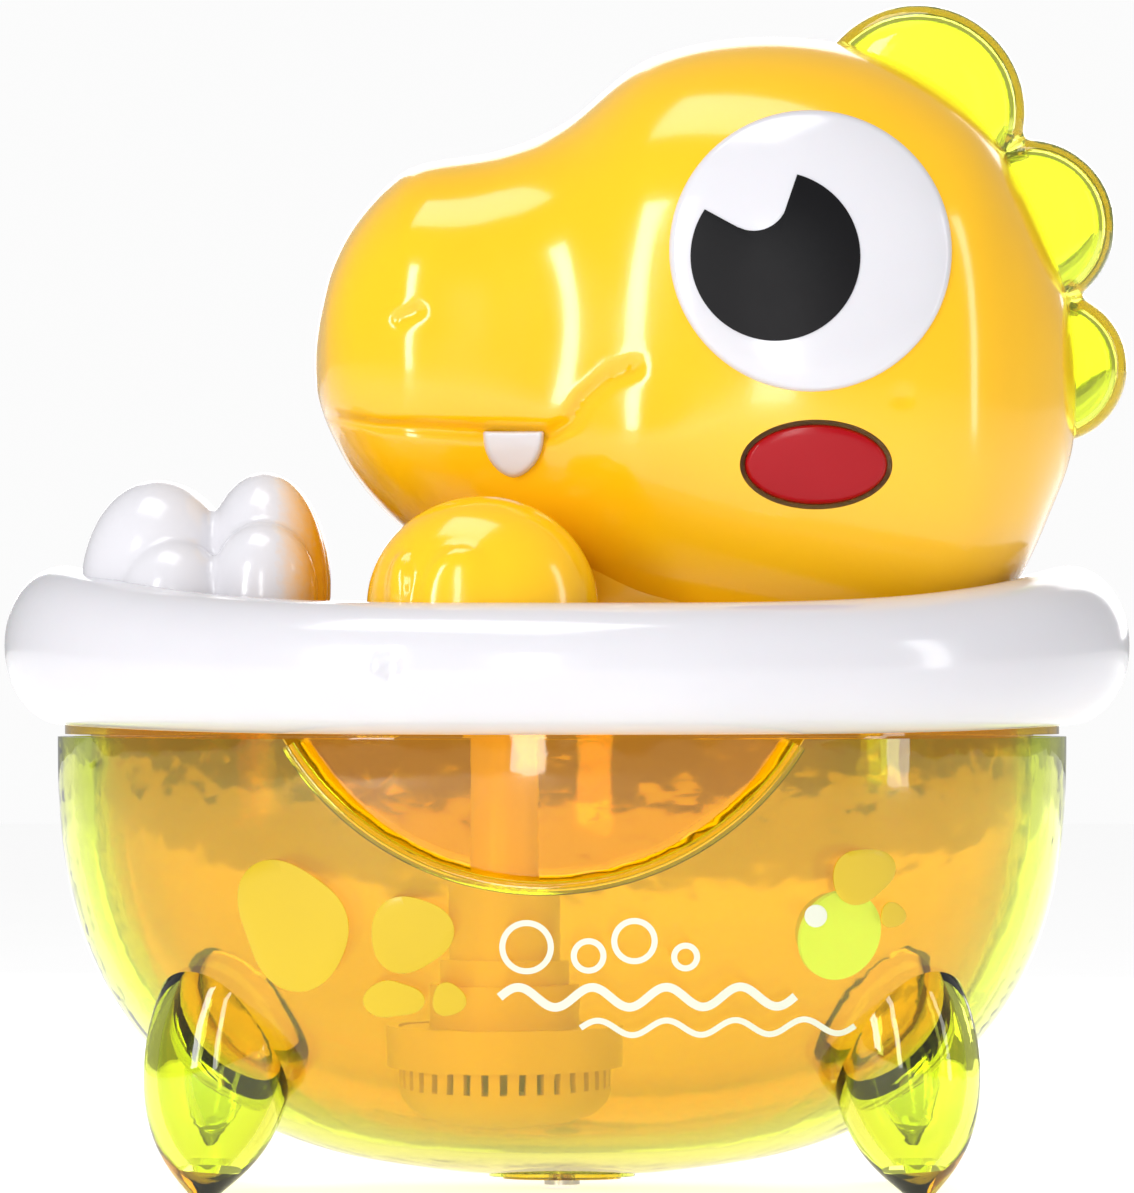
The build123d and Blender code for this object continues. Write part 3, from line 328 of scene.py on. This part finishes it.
def cushion(outline, side, centre, y_of, thick, inset, rings=10, sink=0.6):
    """A closed button-like patch on a curved side: outline(angle) is its radius."""
    count, flat = ROUND, rings - EDGE_RINGS
    x0, z0 = centre
    points = []
    for level in range(rings + 1):
        if level <= flat:
            share, lift, pull = level / flat, thick, inset
        else:
            turn = (level - flat) / EDGE_RINGS * pi / 2
            share, pull = 1.0, inset * (1 - sin(turn))
            lift = thick * cos(turn) - sink * (turn / (pi / 2)) ** 3
        for k in range(count):
            angle = 2 * pi * k / count
            reach = max(0.0, outline(angle) - pull) * share
            x, z = x0 + reach * cos(angle), z0 + reach * sin(angle)
            points.append((x, side * (y_of(x, z) + lift), z))
    base = len(points)
    points.append((x0, side * (y_of(x0, z0) - sink), z0))
    faces = grid_faces(rings + 1, count, closed_columns=True)
    last = rings * count
    faces += [(last + (k + 1) % count, last + k, base) for k in range(count)]
    return points, faces


# --------------------------------------------------------------------- head
CREASE = ((-36.0, 116.6), (-28.0, 115.2), (-14.0, 114.3), (-2.4, 113.9), (0.6, 115.6),
          (2.4, 119.0), (6.0, 122.2), (10.0, 123.4))
NOSTRIL = ((-25.0, 131.0), (-22.6, 132.2))
GATE = (50.1, 119.2)
CHEEK = (37.2, 109.2)
CHEEK_RADII = (11.4, 6.7)
CHEEK_GAP = 0.7                              # between a button and its pocket's wall
POCKET_DEPTH, POCKET_ABOVE = 9.0, 8.0        # how far the cutter goes in and out from the skin
EYE = (36.4, 141.2)
EYE_RADIUS = 21.2
# each detail's relief: depth and width
CREASE_CUT, NOSTRIL_CUT, GATE_CUT = (1.25, 0.95), (0.8, 1.1), (0.5, 0.8)
JAW_STEP, JAW_Z, JAW_X = 1.3, 115.0, -1.5    # the jaw sits back under the snout
JAW_FADE_Z, JAW_FADE_X = 1.6, 0.9
JOWL, JOWL_RISE, JOWL_WIDTH = (9.0, 111.0), 1.5, 11.0
HEAD_ALONG, HEAD_AROUND = 260, 220
FACING = 1.6                                 # how soon the relief fades to the parting line
HEAD_CREASE_ANGLE = 50


def head_relief(x, z):
    """Small sculpted detail on the side of the head, outward in millimetres."""
    out = -CREASE_CUT[0] * bump(line_distance(x, z, CREASE), CREASE_CUT[1])
    under = 1 / (1 + EULER ** ((z - JAW_Z) * JAW_FADE_Z))
    ahead = 1 / (1 + EULER ** ((x - JAW_X) * JAW_FADE_X))
    out -= JAW_STEP * under * ahead
    out += JOWL_RISE * bump(sqrt((x - JOWL[0]) ** 2 + (z - JOWL[1]) ** 2), JOWL_WIDTH)
    out -= NOSTRIL_CUT[0] * bump(line_distance(x, z, NOSTRIL), NOSTRIL_CUT[1])
    out -= GATE_CUT[0] * bump(sqrt((x - GATE[0]) ** 2 + (z - GATE[1]) ** 2), GATE_CUT[1])
    return out


def head_half(side, name, node):
    """One closed half of the head, with a pocket for its cheek button."""
    along, around = HEAD_ALONG, HEAD_AROUND
    points = []
    for i in range(along + 1):
        x, low, high, wide = smooth_between(HEAD, i / along * (len(HEAD) - 1))
        middle, tall = (low + high) / 2, (high - low) / 2
        for j in range(around + 1):
            angle = pi * j / around - pi / 2
            c, s = max(0.0, cos(angle)), sin(angle)
            if j in (0, around):
                c = 0.0
            y = wide * c ** (2 / HEAD_POWER)
            z = middle + tall * abs(s) ** (2 / HEAD_POWER) * (1 if s > 0 else -1)
            facing = min(1.0, FACING * c)
            y += head_relief(x, z) * facing if c > 0 else 0.0
            points.append((x, side * max(0.0, y), z))
    faces = grid_faces(along + 1, around + 1)
    points_per_row = around + 1
    # the flat parting face at the middle
    for i in range(along):
        a, b = i * points_per_row, (i + 1) * points_per_row
        faces.append((a, b, b + around, a + around))
    piece = finish_piece(name, points, faces, "yellow_plastic", (node,), angle=HEAD_CREASE_ANGLE)
    cut = cheek_cutter(side)
    pocket = piece.modifiers.new("pocket", "BOOLEAN")
    pocket.operation = "DIFFERENCE"
    pocket.solver = "EXACT"
    pocket.object = cut
    apply_modifiers(piece)
    bpy.data.objects.remove(cut)
    piece.data.shade_smooth()
    piece.data.set_sharp_from_angle(angle=radians(HEAD_CREASE_ANGLE))


def cheek_cutter(side):
    """The solid that cuts the pocket a cheek button sits in."""
    count = ROUND
    points = []
    for depth in (-POCKET_DEPTH, POCKET_ABOVE):
        for k in range(count):
            angle = 2 * pi * k / count
            x = CHEEK[0] + CHEEK_RADII[0] * cos(angle)
            z = CHEEK[1] + CHEEK_RADII[1] * sin(angle)
            points.append((x, side * (head_side(*CHEEK) + depth), z))
    faces = grid_faces(2, count, closed_columns=True)
    faces += [tuple(range(count)), tuple(reversed(range(count, 2 * count)))]
    mesh = bpy.data.meshes.new("cutter")
    mesh.from_pydata([Vector(p) * MM for p in points], [], faces)
    tidy = bmesh.new()
    tidy.from_mesh(mesh)
    bmesh.ops.recalc_face_normals(tidy, faces=tidy.faces)
    tidy.to_mesh(mesh)
    tidy.free()
    return linked("cutter", mesh)


# --------------------------------------------------------------------- body
SKIRT_X, SKIRT_AROUND, SKIRT_STEPS = 19.0, 160, 8
# the body between rim and head: height, half length, half width
SKIRT = ((76.25, 42.9, 31.6), (80.0, 42.6, 31.2), (83.0, 41.8, 29.6), (86.0, 41.0, 26.8),
         (89.0, 40.4, 25.0), (93.0, 40.0, 24.4), (97.0, 39.6, 24.0), (103.0, 39.0, 23.6))


def skirt():
    """The oval body that stands on the deck and runs up inside the head."""
    around = SKIRT_AROUND
    points = []
    for k in range(SKIRT_STEPS * (len(SKIRT) - 1) + 1):
        z, half_x, half_y = smooth_between(SKIRT, k / SKIRT_STEPS)
        for j in range(around):
            turn = 2 * pi * j / around
            points.append((SKIRT_X + half_x * cos(turn), half_y * sin(turn), z))
    rows = len(points) // around
    faces = grid_faces(rows, around, False, True)
    faces += [tuple(range(around)), tuple(reversed(range((rows - 1) * around, rows * around)))]
    finish_piece("body_skirt", points, faces, "yellow_plastic", ("torso",))


skirt()

# --------------------------------------------------------------------- face
PUPIL, PUPIL_RADIUS = (31.1, 140.3), 12.7
GLINT, GLINT_RADIUS = (27.8, 149.4), 5.3


def pupil_outline(angle):
    """Round pupil with a round bite where the glint is."""
    dx, dz = GLINT[0] - PUPIL[0], GLINT[1] - PUPIL[1]
    away = sqrt(dx * dx + dz * dz)
    off = angle - atan2(dz, dx)
    side = away * sin(off)
    if cos(off) > 0 and abs(side) < GLINT_RADIUS:
        return min(PUPIL_RADIUS, away * cos(off) - sqrt(GLINT_RADIUS ** 2 - side ** 2))
    return PUPIL_RADIUS


def oval_outline(half_x, half_z):
    """An upright oval."""
    return lambda angle: 1 / sqrt((cos(angle) / half_x) ** 2 + (sin(angle) / half_z) ** 2)


for side, hand in SIDES:
    head_half(side, f"head_skin_{hand}", f"head_{hand}")
    points, faces = cushion(oval_outline(EYE_RADIUS, EYE_RADIUS), side, EYE, head_side, 0.85, 0.9)
    finish_piece(f"eye_disc_{hand}", points, faces, "white_plastic", (f"eye_{hand}",))
    points, faces = cushion(pupil_outline, side, PUPIL, head_side, 1.0, 0.05, rings=12, sink=-0.7)
    finish_piece(f"pupil_{hand}", points, faces, "black_ink")
    cheek_outline = oval_outline(CHEEK_RADII[0] - CHEEK_GAP, CHEEK_RADII[1] - CHEEK_GAP)
    points, faces = cushion(cheek_outline, side, CHEEK, head_side, 0.5, 0.8, sink=2.0)
    finish_piece(f"cheek_button_{hand}", points, faces, "red_plastic", (f"button_{hand}",),
                 f"{hand}_cheek")


TOOTH = (-8.0, 111.4)
TOOTH_GUM, TOOTH_HALF_WIDTH, TOOTH_LENGTH = 2.9, 4.6, 7.0    # gum line above the middle
TOOTH_TAPER = (2.4, 0.62)
TOOTH_SUNK = 0.9                                             # below the head's skin
TOOTH_STEP, TOOTH_LIMIT = 0.04, 9


def tooth_outline(angle):
    """Flat at the gum, rounded at the tip."""
    reach = 0.0
    while reach < TOOTH_LIMIT:
        x, z = abs(reach * cos(angle)), reach * sin(angle)
        fall = max(0.0, (TOOTH_GUM - z) / TOOTH_LENGTH)
        if z > TOOTH_GUM or fall >= 1:
            break
        if x > TOOTH_HALF_WIDTH * (1 - fall ** TOOTH_TAPER[0]) ** TOOTH_TAPER[1]:
            break
        reach += TOOTH_STEP
    return reach


def gum_side(x, z):
    """How far out the root of a tooth is at x, z."""
    return head_side(x, z) - TOOTH_SUNK


for side, hand in SIDES:
    points, faces = cushion(tooth_outline, side, TOOTH, gum_side, 1.7, 0.9, sink=1.0)
    names = ("teeth",) if hand == "left" else ()      # both teeth are one CAD node
    finish_piece(f"tooth_{hand}", points, faces, "white_plastic", names, angle=60)


# -------------------------------------------------------------- soft lumps
def lump_piece(name, lumps, voxel, rounds, slot, replaces, look=None):
    """Egg-shaped lumps melted into one smooth closed skin."""
    soft = bmesh.new()
    for (x, y, z), (rx, ry, rz) in lumps:
        made = bmesh.ops.create_uvsphere(soft, u_segments=48, v_segments=32, radius=1.0)
        for vert in made["verts"]:
            vert.co = Vector((x + vert.co.x * rx, y + vert.co.y * ry, z + vert.co.z * rz)) * MM
    mesh = bpy.data.meshes.new(name)
    soft.to_mesh(mesh)
    soft.free()
    piece = linked(name, mesh)
    melt = piece.modifiers.new("melt", "REMESH")
    melt.mode = "VOXEL"
    melt.voxel_size = voxel * MM
    calm = piece.modifiers.new("calm", "SMOOTH")
    calm.factor = 0.5
    calm.iterations = rounds
    apply_modifiers(piece)
    piece.data.materials.clear()
    piece.data.materials.append(look or LOOKS[slot])
    piece.data.shade_smooth()
    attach(piece, UNIT)
    if replaces:
        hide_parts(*replaces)


# lumps of an arm and a foot on the right: centre and the three radii
ARM_LUMPS = (
    ((-12.6, 43.0, 88.0), (17.3, 12.0, 16.5)),
    ((-24.2, 49.6, 90.0), (2.6, 3.0, 6.2)),
    ((-15.5, 53.2, 88.0), (6.5, 2.2, 9.0)),
    ((-9.0, 32.0, 90.0), (12.0, 12.0, 12.0)),
)
FOOT_LUMPS = (
    ((-61.5, 17.0, 91.0), (11.6, 10.5, 16.0)),
    ((-45.5, 18.0, 91.0), (9.5, 10.5, 17.2)),
    ((-59.0, 24.4, 88.5), (8.6, 7.6, 9.8)),
    ((-45.5, 26.4, 90.0), (8.2, 7.2, 10.8)),
)


SPRAY_START, SPRAY_END, SPRAY_JITTER = -0.0425, -0.0365, 0.0022    # along X, metres
SPRAY_BARE, SPRAY_FULL = (0.68, 0.67, 0.71, 1), (0.95, 0.47, 0.02, 1)


def painted_foot():
    """White that is sprayed over to warm yellow on the side facing the body."""
    mat, nodes, links, shader = new_material("foot_sprayed")
    where = nodes.new("ShaderNodeTexCoord")
    split = nodes.new("ShaderNodeSeparateXYZ")
    links.new(where.outputs["Object"], split.inputs["Vector"])
    speckle = add_noise(nodes, links, GRAIN_SCALE, 3.0)
    jitter = nodes.new("ShaderNodeMath")
    jitter.operation = "MULTIPLY_ADD"
    jitter.inputs[1].default_value = SPRAY_JITTER
    links.new(speckle.outputs["Fac"], jitter.inputs[0])
    links.new(split.outputs["X"], jitter.inputs[2])
    fade = nodes.new("ShaderNodeMapRange")
    fade.inputs["From Min"].default_value = SPRAY_START
    fade.inputs["From Max"].default_value = SPRAY_END
    links.new(jitter.outputs["Value"], fade.inputs["Value"])
    ramp = nodes.new("ShaderNodeValToRGB")
    ramp.color_ramp.elements[0].color = SPRAY_BARE
    ramp.color_ramp.elements[1].color = SPRAY_FULL
    links.new(fade.outputs["Result"], ramp.inputs["Fac"])
    links.new(ramp.outputs["Color"], shader.inputs["Base Color"])
    vary_roughness(nodes, links, shader, 0.16, 0.26, SHEEN_SCALE)
    add_bump(nodes, links, shader, GRAIN_SCALE, 0.05, GRAIN_DEPTH)
    shader.inputs["Coat Weight"].default_value = 0.3
    return mat


FOOT_PAINT = painted_foot()
for side, hand in SIDES:
    arm = [((x, side * y, z), radii) for (x, y, z), radii in ARM_LUMPS]
    lump_piece(f"arm_skin_{hand}", arm, 0.7, 6, "yellow_plastic", (f"arm_{hand}",))
    foot = [((x, side * y, z), radii) for (x, y, z), radii in FOOT_LUMPS]
    lump_piece(f"foot_skin_{hand}", foot, 0.6, 4, "white_plastic", (f"foot_{hand}",), FOOT_PAINT)

# -------------------------------------------------------------------- crest
# lobes seen from the side: x, z, radius
CREST_LOBES = ((53.1, 162.8, 16.3), (69.8, 145.6, 13.1), (73.3, 124.2, 11.5))
CREST_HALF_THICK, CREST_WALL, CREST_VOXEL = 7.0, 2.0, 0.55
CREST_POWER = 5                          # how square the lobes' edges are


def crest_shell(name, inset, half_thick):
    """The three flattened lobes, pulled in by inset."""
    lumps = bmesh.new()
    for x0, z0, radius in CREST_LOBES:
        made = bmesh.ops.create_uvsphere(lumps, u_segments=96, v_segments=48, radius=1.0)
        for vert in made["verts"]:
            flat = sqrt(vert.co.x ** 2 + vert.co.z ** 2)
            lift = abs(vert.co.y)
            grow = (flat ** CREST_POWER + lift ** CREST_POWER) ** (1 / CREST_POWER) or 1.0
            x = x0 + vert.co.x / grow * (radius - inset)
            z = z0 + vert.co.z / grow * (radius - inset)
            vert.co = Vector((x, vert.co.y / grow * half_thick, z)) * MM
    mesh = bpy.data.meshes.new(name)
    lumps.to_mesh(mesh)
    lumps.free()
    piece = linked(name, mesh)
    melt = piece.modifiers.new("melt", "REMESH")
    melt.mode = "VOXEL"
    melt.voxel_size = CREST_VOXEL * MM
    calm = piece.modifiers.new("calm", "SMOOTH")
    calm.iterations = 4
    apply_modifiers(piece)
    return piece


crest = crest_shell("crest_skin", 0.0, CREST_HALF_THICK)
hollow = crest_shell("crest_hollow", CREST_WALL, CREST_HALF_THICK - CREST_WALL)
hollow_mesh = bmesh.new()
hollow_mesh.from_mesh(hollow.data)
bmesh.ops.reverse_faces(hollow_mesh, faces=hollow_mesh.faces)
hollow_mesh.to_mesh(hollow.data)
hollow_mesh.free()
both = bmesh.new()
both.from_mesh(crest.data)
both.from_mesh(hollow.data)
both.to_mesh(crest.data)
both.free()
bpy.data.objects.remove(hollow)
crest.data.materials.clear()
crest.data.materials.append(LOOKS["crest_plastic"])
crest.data.shade_smooth()
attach(crest, UNIT)
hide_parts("crest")

# ---------------------------------------------------------------------- rim
RIM_HALF, RIM_THICK = 76.0, 9.2
RIM_MIDDLE_Z, RIM_RISE = 78.8, 3.3       # its centre line, and how much higher at the ends
RIM_TALL, RIM_SWELL = 9.8, 2.2           # its half height, and how much more at the ends
RIM_GATE = (-26.4, 79.2)
GATE_RING, GATE_DOT = (0.7, 1.0, 0.6), (0.3, 0.5)    # depths, radius and widths of the mark


def rim_mesh():
    """The rolled rim with the small round moulding mark on its left side."""
    around, across = 520, 64
    points = []
    for i in range(around):
        angle = 2 * pi * i / around
        lift = abs(cos(angle)) ** 4
        centre = Vector((RIM_HALF * cos(angle), RIM_HALF * DEPTH_RATIO * sin(angle),
                         RIM_MIDDLE_Z + RIM_RISE * lift))
        out = Vector((DEPTH_RATIO * cos(angle), sin(angle), 0)).normalized()
        tall = RIM_TALL + RIM_SWELL * lift
        for j in range(across):
            turn = 2 * pi * j / across
            point = centre + out * (RIM_THICK * cos(turn))
            point.z += tall * sin(turn)
            if point.y < 0 and cos(turn) > 0:
                near = sqrt((point.x - RIM_GATE[0]) ** 2 + (point.z - RIM_GATE[1]) ** 2)
                ring = GATE_RING[0] * bump(near - GATE_RING[1], GATE_RING[2])
                point -= out * (ring - GATE_DOT[0] * bump(near, GATE_DOT[1]))
            points.append(tuple(point))
    return points, grid_faces(around, across, True, True)


points, faces = rim_mesh()
finish_piece("rim_roll", points, faces, "white_plastic", ("rim",))


# --------------------------------------------------------------- scoop lip
SCOOP, SCOOP_RADIUS, LIP = (-3.5, 90.9), 44.7, 1.0
for side, hand in SIDES:
    points = []
    steps, across = 140, 16
    end_z = TUB_TOP - LIP - SCOOP[1]
    start = atan2(end_z, -sqrt(SCOOP_RADIUS ** 2 - end_z ** 2))
    for i in range(steps + 1):
        angle = start + (-pi - 2 * start) * i / steps
        x, z = SCOOP[0] + SCOOP_RADIUS * cos(angle), SCOOP[1] + SCOOP_RADIUS * sin(angle)
        y = tub_side(x, z) - LIP
        for j in range(across):
            turn = 2 * pi * j / across
            reach = LIP * cos(turn)
            place = (x + reach * cos(angle), side * (y + LIP * sin(turn)), z + reach * sin(angle))
            points.append(place)
    faces = grid_faces(steps + 1, across, False, True)
    faces += [tuple(range(across)), tuple(reversed(range(steps * across, (steps + 1) * across)))]
    finish_piece(f"scoop_lip_{hand}", points, faces, "tub_plastic", (), "tub")

# ------------------------------------------------------------------- prints
INK_TOP, INK_BASE, INK_EDGE = 0.12, 0.02, 0.03    # outward from the wall, and the edge's run


def printed(name, outline, centre, look):
    """A thin spot of ink on the left of the tub's wall."""
    points, faces = cushion(outline, -1, centre, tub_side, INK_TOP, INK_EDGE, 8, -INK_BASE)
    spot = finish_piece(name, points, faces, "print_ink", (), "tub", look)
    spot.visible_shadow = False


def leaf_outline(half_x, half_z, tilt):
    """A rounded, slightly pointed egg."""
    def reach(angle):
        turned = angle - tilt
        egg = 1 / sqrt((cos(turned) / half_x) ** 2 + (sin(turned) / half_z) ** 2)
        return egg * (1 + 0.07 * cos(3 * turned + 0.6))
    return reach


# name, centre, then half width, half height and tilt
LEAVES = (
    ("leaf_large", (-40.8, 40.6), (7.6, 10.2, 0.45)),
    ("leaf_small", (-23.3, 39.4), (6.2, 5.6, 0.3)),
    ("leaf_oval", (-26.0, 29.6), (4.6, 2.7, 0.0)),
    ("leaf_dot", (-17.6, 29.6), (2.5, 2.5, 0.0)),
    ("leaf_high", (44.0, 48.0), (4.9, 3.9, 0.5)),
    ("leaf_spot", (48.6, 42.0), (1.9, 1.9, 0.0)),
)
for leaf_name, leaf_centre, leaf_shape in LEAVES:
    printed(leaf_name, leaf_outline(*leaf_shape), leaf_centre, LEAF_INK)
printed("bubble_spot", oval_outline(1.7, 1.7), (37.0, 42.0), LOOKS["print_ink"])


def printed_line(name, route, width, closed):
    """A thin inked line along a route of x, z points."""
    points = []
    count = len(route)
    for i, (x, z) in enumerate(route):
        ahead = route[(i + 1) % count] if closed or i < count - 1 else route[i]
        behind = route[i - 1] if closed or i > 0 else route[i]
        dx, dz = ahead[0] - behind[0], ahead[1] - behind[1]
        size = sqrt(dx * dx + dz * dz)
        for across, lift in ((-1, INK_BASE), (-1, INK_TOP), (1, INK_TOP), (1, INK_BASE)):
            px = x - dz / size * width / 2 * across
            pz = z + dx / size * width / 2 * across
            points.append((px, -tub_side(px, pz) - lift, pz))
    faces = grid_faces(count, 4, closed, True)
    if not closed:
        last = 4 * (count - 1)
        faces += [(0, 1, 2, 3), (last + 3, last + 2, last + 1, last)]
    line = finish_piece(name, points, faces, "print_ink", (), "tub")
    line.visible_shadow = False


def circle_route(x0, z0, radius):
    """A ring, without its last point again."""
    steps = 48
    turns = [2 * pi * k / steps for k in range(steps)]
    return [(x0 + radius * cos(turn), z0 + radius * sin(turn)) for turn in turns]


def wave_route(x0, x1, z0, swing, waves):
    """A level line with even waves."""
    steps = 120
    route = []
    for k in range(steps + 1):
        route.append((x0 + (x1 - x0) * k / steps, z0 + swing * sin(2 * pi * waves * k / steps)))
    return route


# x, z and radius of each bubble
BUBBLES = ((-6.0, 37.5, 3.6), (3.2, 36.2, 2.2), (10.0, 38.4, 3.0), (17.6, 36.0, 1.7))
printed_line("wave_high", wave_route(-10.0, 34.0, 30.0, 1.5, 4), 1.3, False)
printed_line("wave_low", wave_route(2.0, 43.0, 25.4, 1.1, 4), 0.9, False)
for k, bubble in enumerate(BUBBLES):
    printed_line(f"bubble_ring_{k}", circle_route(*bubble), 0.9, True)

# -------------------------------------------------------- floor, light, view
FLOOR_GLOW, FLOOR_HALF = 0.6, 4    # its own light, and half its side in metres
WHITE = moulded("studio_floor", (0.80, 0.80, 0.80), (0.78, 0.78, 0.78), (0.6, 0.7), 0.0, 0.02)
glow = WHITE.node_tree.nodes["Principled BSDF"]
glow.inputs["Emission Color"].default_value = (1, 1, 1, 1)
glow.inputs["Emission Strength"].default_value = FLOOR_GLOW
floor_mesh = bpy.data.meshes.new("studio_floor")
SIGNS = ((-1, -1), (1, -1), (1, 1), (-1, 1))
corners = [(x * FLOOR_HALF, y * FLOOR_HALF, 0) for x, y in SIGNS]
floor_mesh.from_pydata(corners, [], [(0, 1, 2, 3)])
floor_mesh.materials.append(WHITE)
floor = linked("studio_floor", floor_mesh)

BACKDROP, AMBIENT = 0.97, 0.42     # how bright the studio looks, and how much it lights
scene = bpy.context.scene
scene.view_settings.view_transform = "Standard"
world = bpy.data.worlds.new("studio")
scene.world = world
world.use_nodes = True
sky, sky_links = world.node_tree.nodes, world.node_tree.links
sky["Background"].inputs["Color"].default_value = (1.0, 1.0, 1.0, 1)
sky_rays = sky.new("ShaderNodeLightPath")
sky_bounced = sky.new("ShaderNodeMath")
sky_bounced.operation = "MAXIMUM"
sky_links.new(sky_rays.outputs["Is Diffuse Ray"], sky_bounced.inputs[0])
sky_links.new(sky_rays.outputs["Is Glossy Ray"], sky_bounced.inputs[1])
sky_level = sky.new("ShaderNodeMapRange")
sky_level.inputs["To Min"].default_value = BACKDROP
sky_level.inputs["To Max"].default_value = AMBIENT
sky_links.new(sky_bounced.outputs["Value"], sky_level.inputs["Value"])
sky_links.new(sky_level.outputs["Result"], sky["Background"].inputs["Strength"])


def softbox(name, place, aim, size_x, size_y, power):
    """A soft rectangular lamp, sizes in metres and power in watts."""
    light = bpy.data.lights.new(name, "AREA")
    light.shape = "RECTANGLE"
    light.size, light.size_y, light.energy = size_x, size_y, power
    lamp = bpy.data.objects.new(name, light)
    lamp.location = place
    lamp.rotation_euler = (Vector(aim) - Vector(place)).to_track_quat("-Z", "Y").to_euler()
    scene.collection.objects.link(lamp)


MIDDLE = (0.0, 0.0, 0.1)
softbox("key_left", (-0.75, -1.05, 0.45), MIDDLE, 0.22, 0.8, 7)
softbox("key_front", (-0.15, -1.45, 0.35), MIDDLE, 0.16, 0.7, 3)
softbox("fill_right", (1.0, -0.45, 0.30), MIDDLE, 0.12, 0.8, 1.6)
softbox("top", (-0.2, -0.3, 1.2), MIDDLE, 0.7, 0.5, 4.5)
softbox("back", (0.2, 1.2, 0.5), MIDDLE, 1.0, 0.8, 6)

IMAGE_WIDTH = 1134
MM_PER_PIXEL = 1 / 6.6
VIEW_DISTANCE, VIEW_HEIGHT = 2.5, 0.0895
SENSOR_MM, CLIP_END = 36, 30
camera_data = bpy.data.cameras.new("camera")
camera_data.sensor_fit = "HORIZONTAL"
camera_data.sensor_width = SENSOR_MM
camera_data.lens = SENSOR_MM * VIEW_DISTANCE / (IMAGE_WIDTH * MM_PER_PIXEL * MM)
camera_data.clip_end = CLIP_END
camera = bpy.data.objects.new("camera", camera_data)
camera.location = (0, -VIEW_DISTANCE, VIEW_HEIGHT)
camera.rotation_euler = (pi / 2, 0, 0)
scene.collection.objects.link(camera)
scene.camera = camera
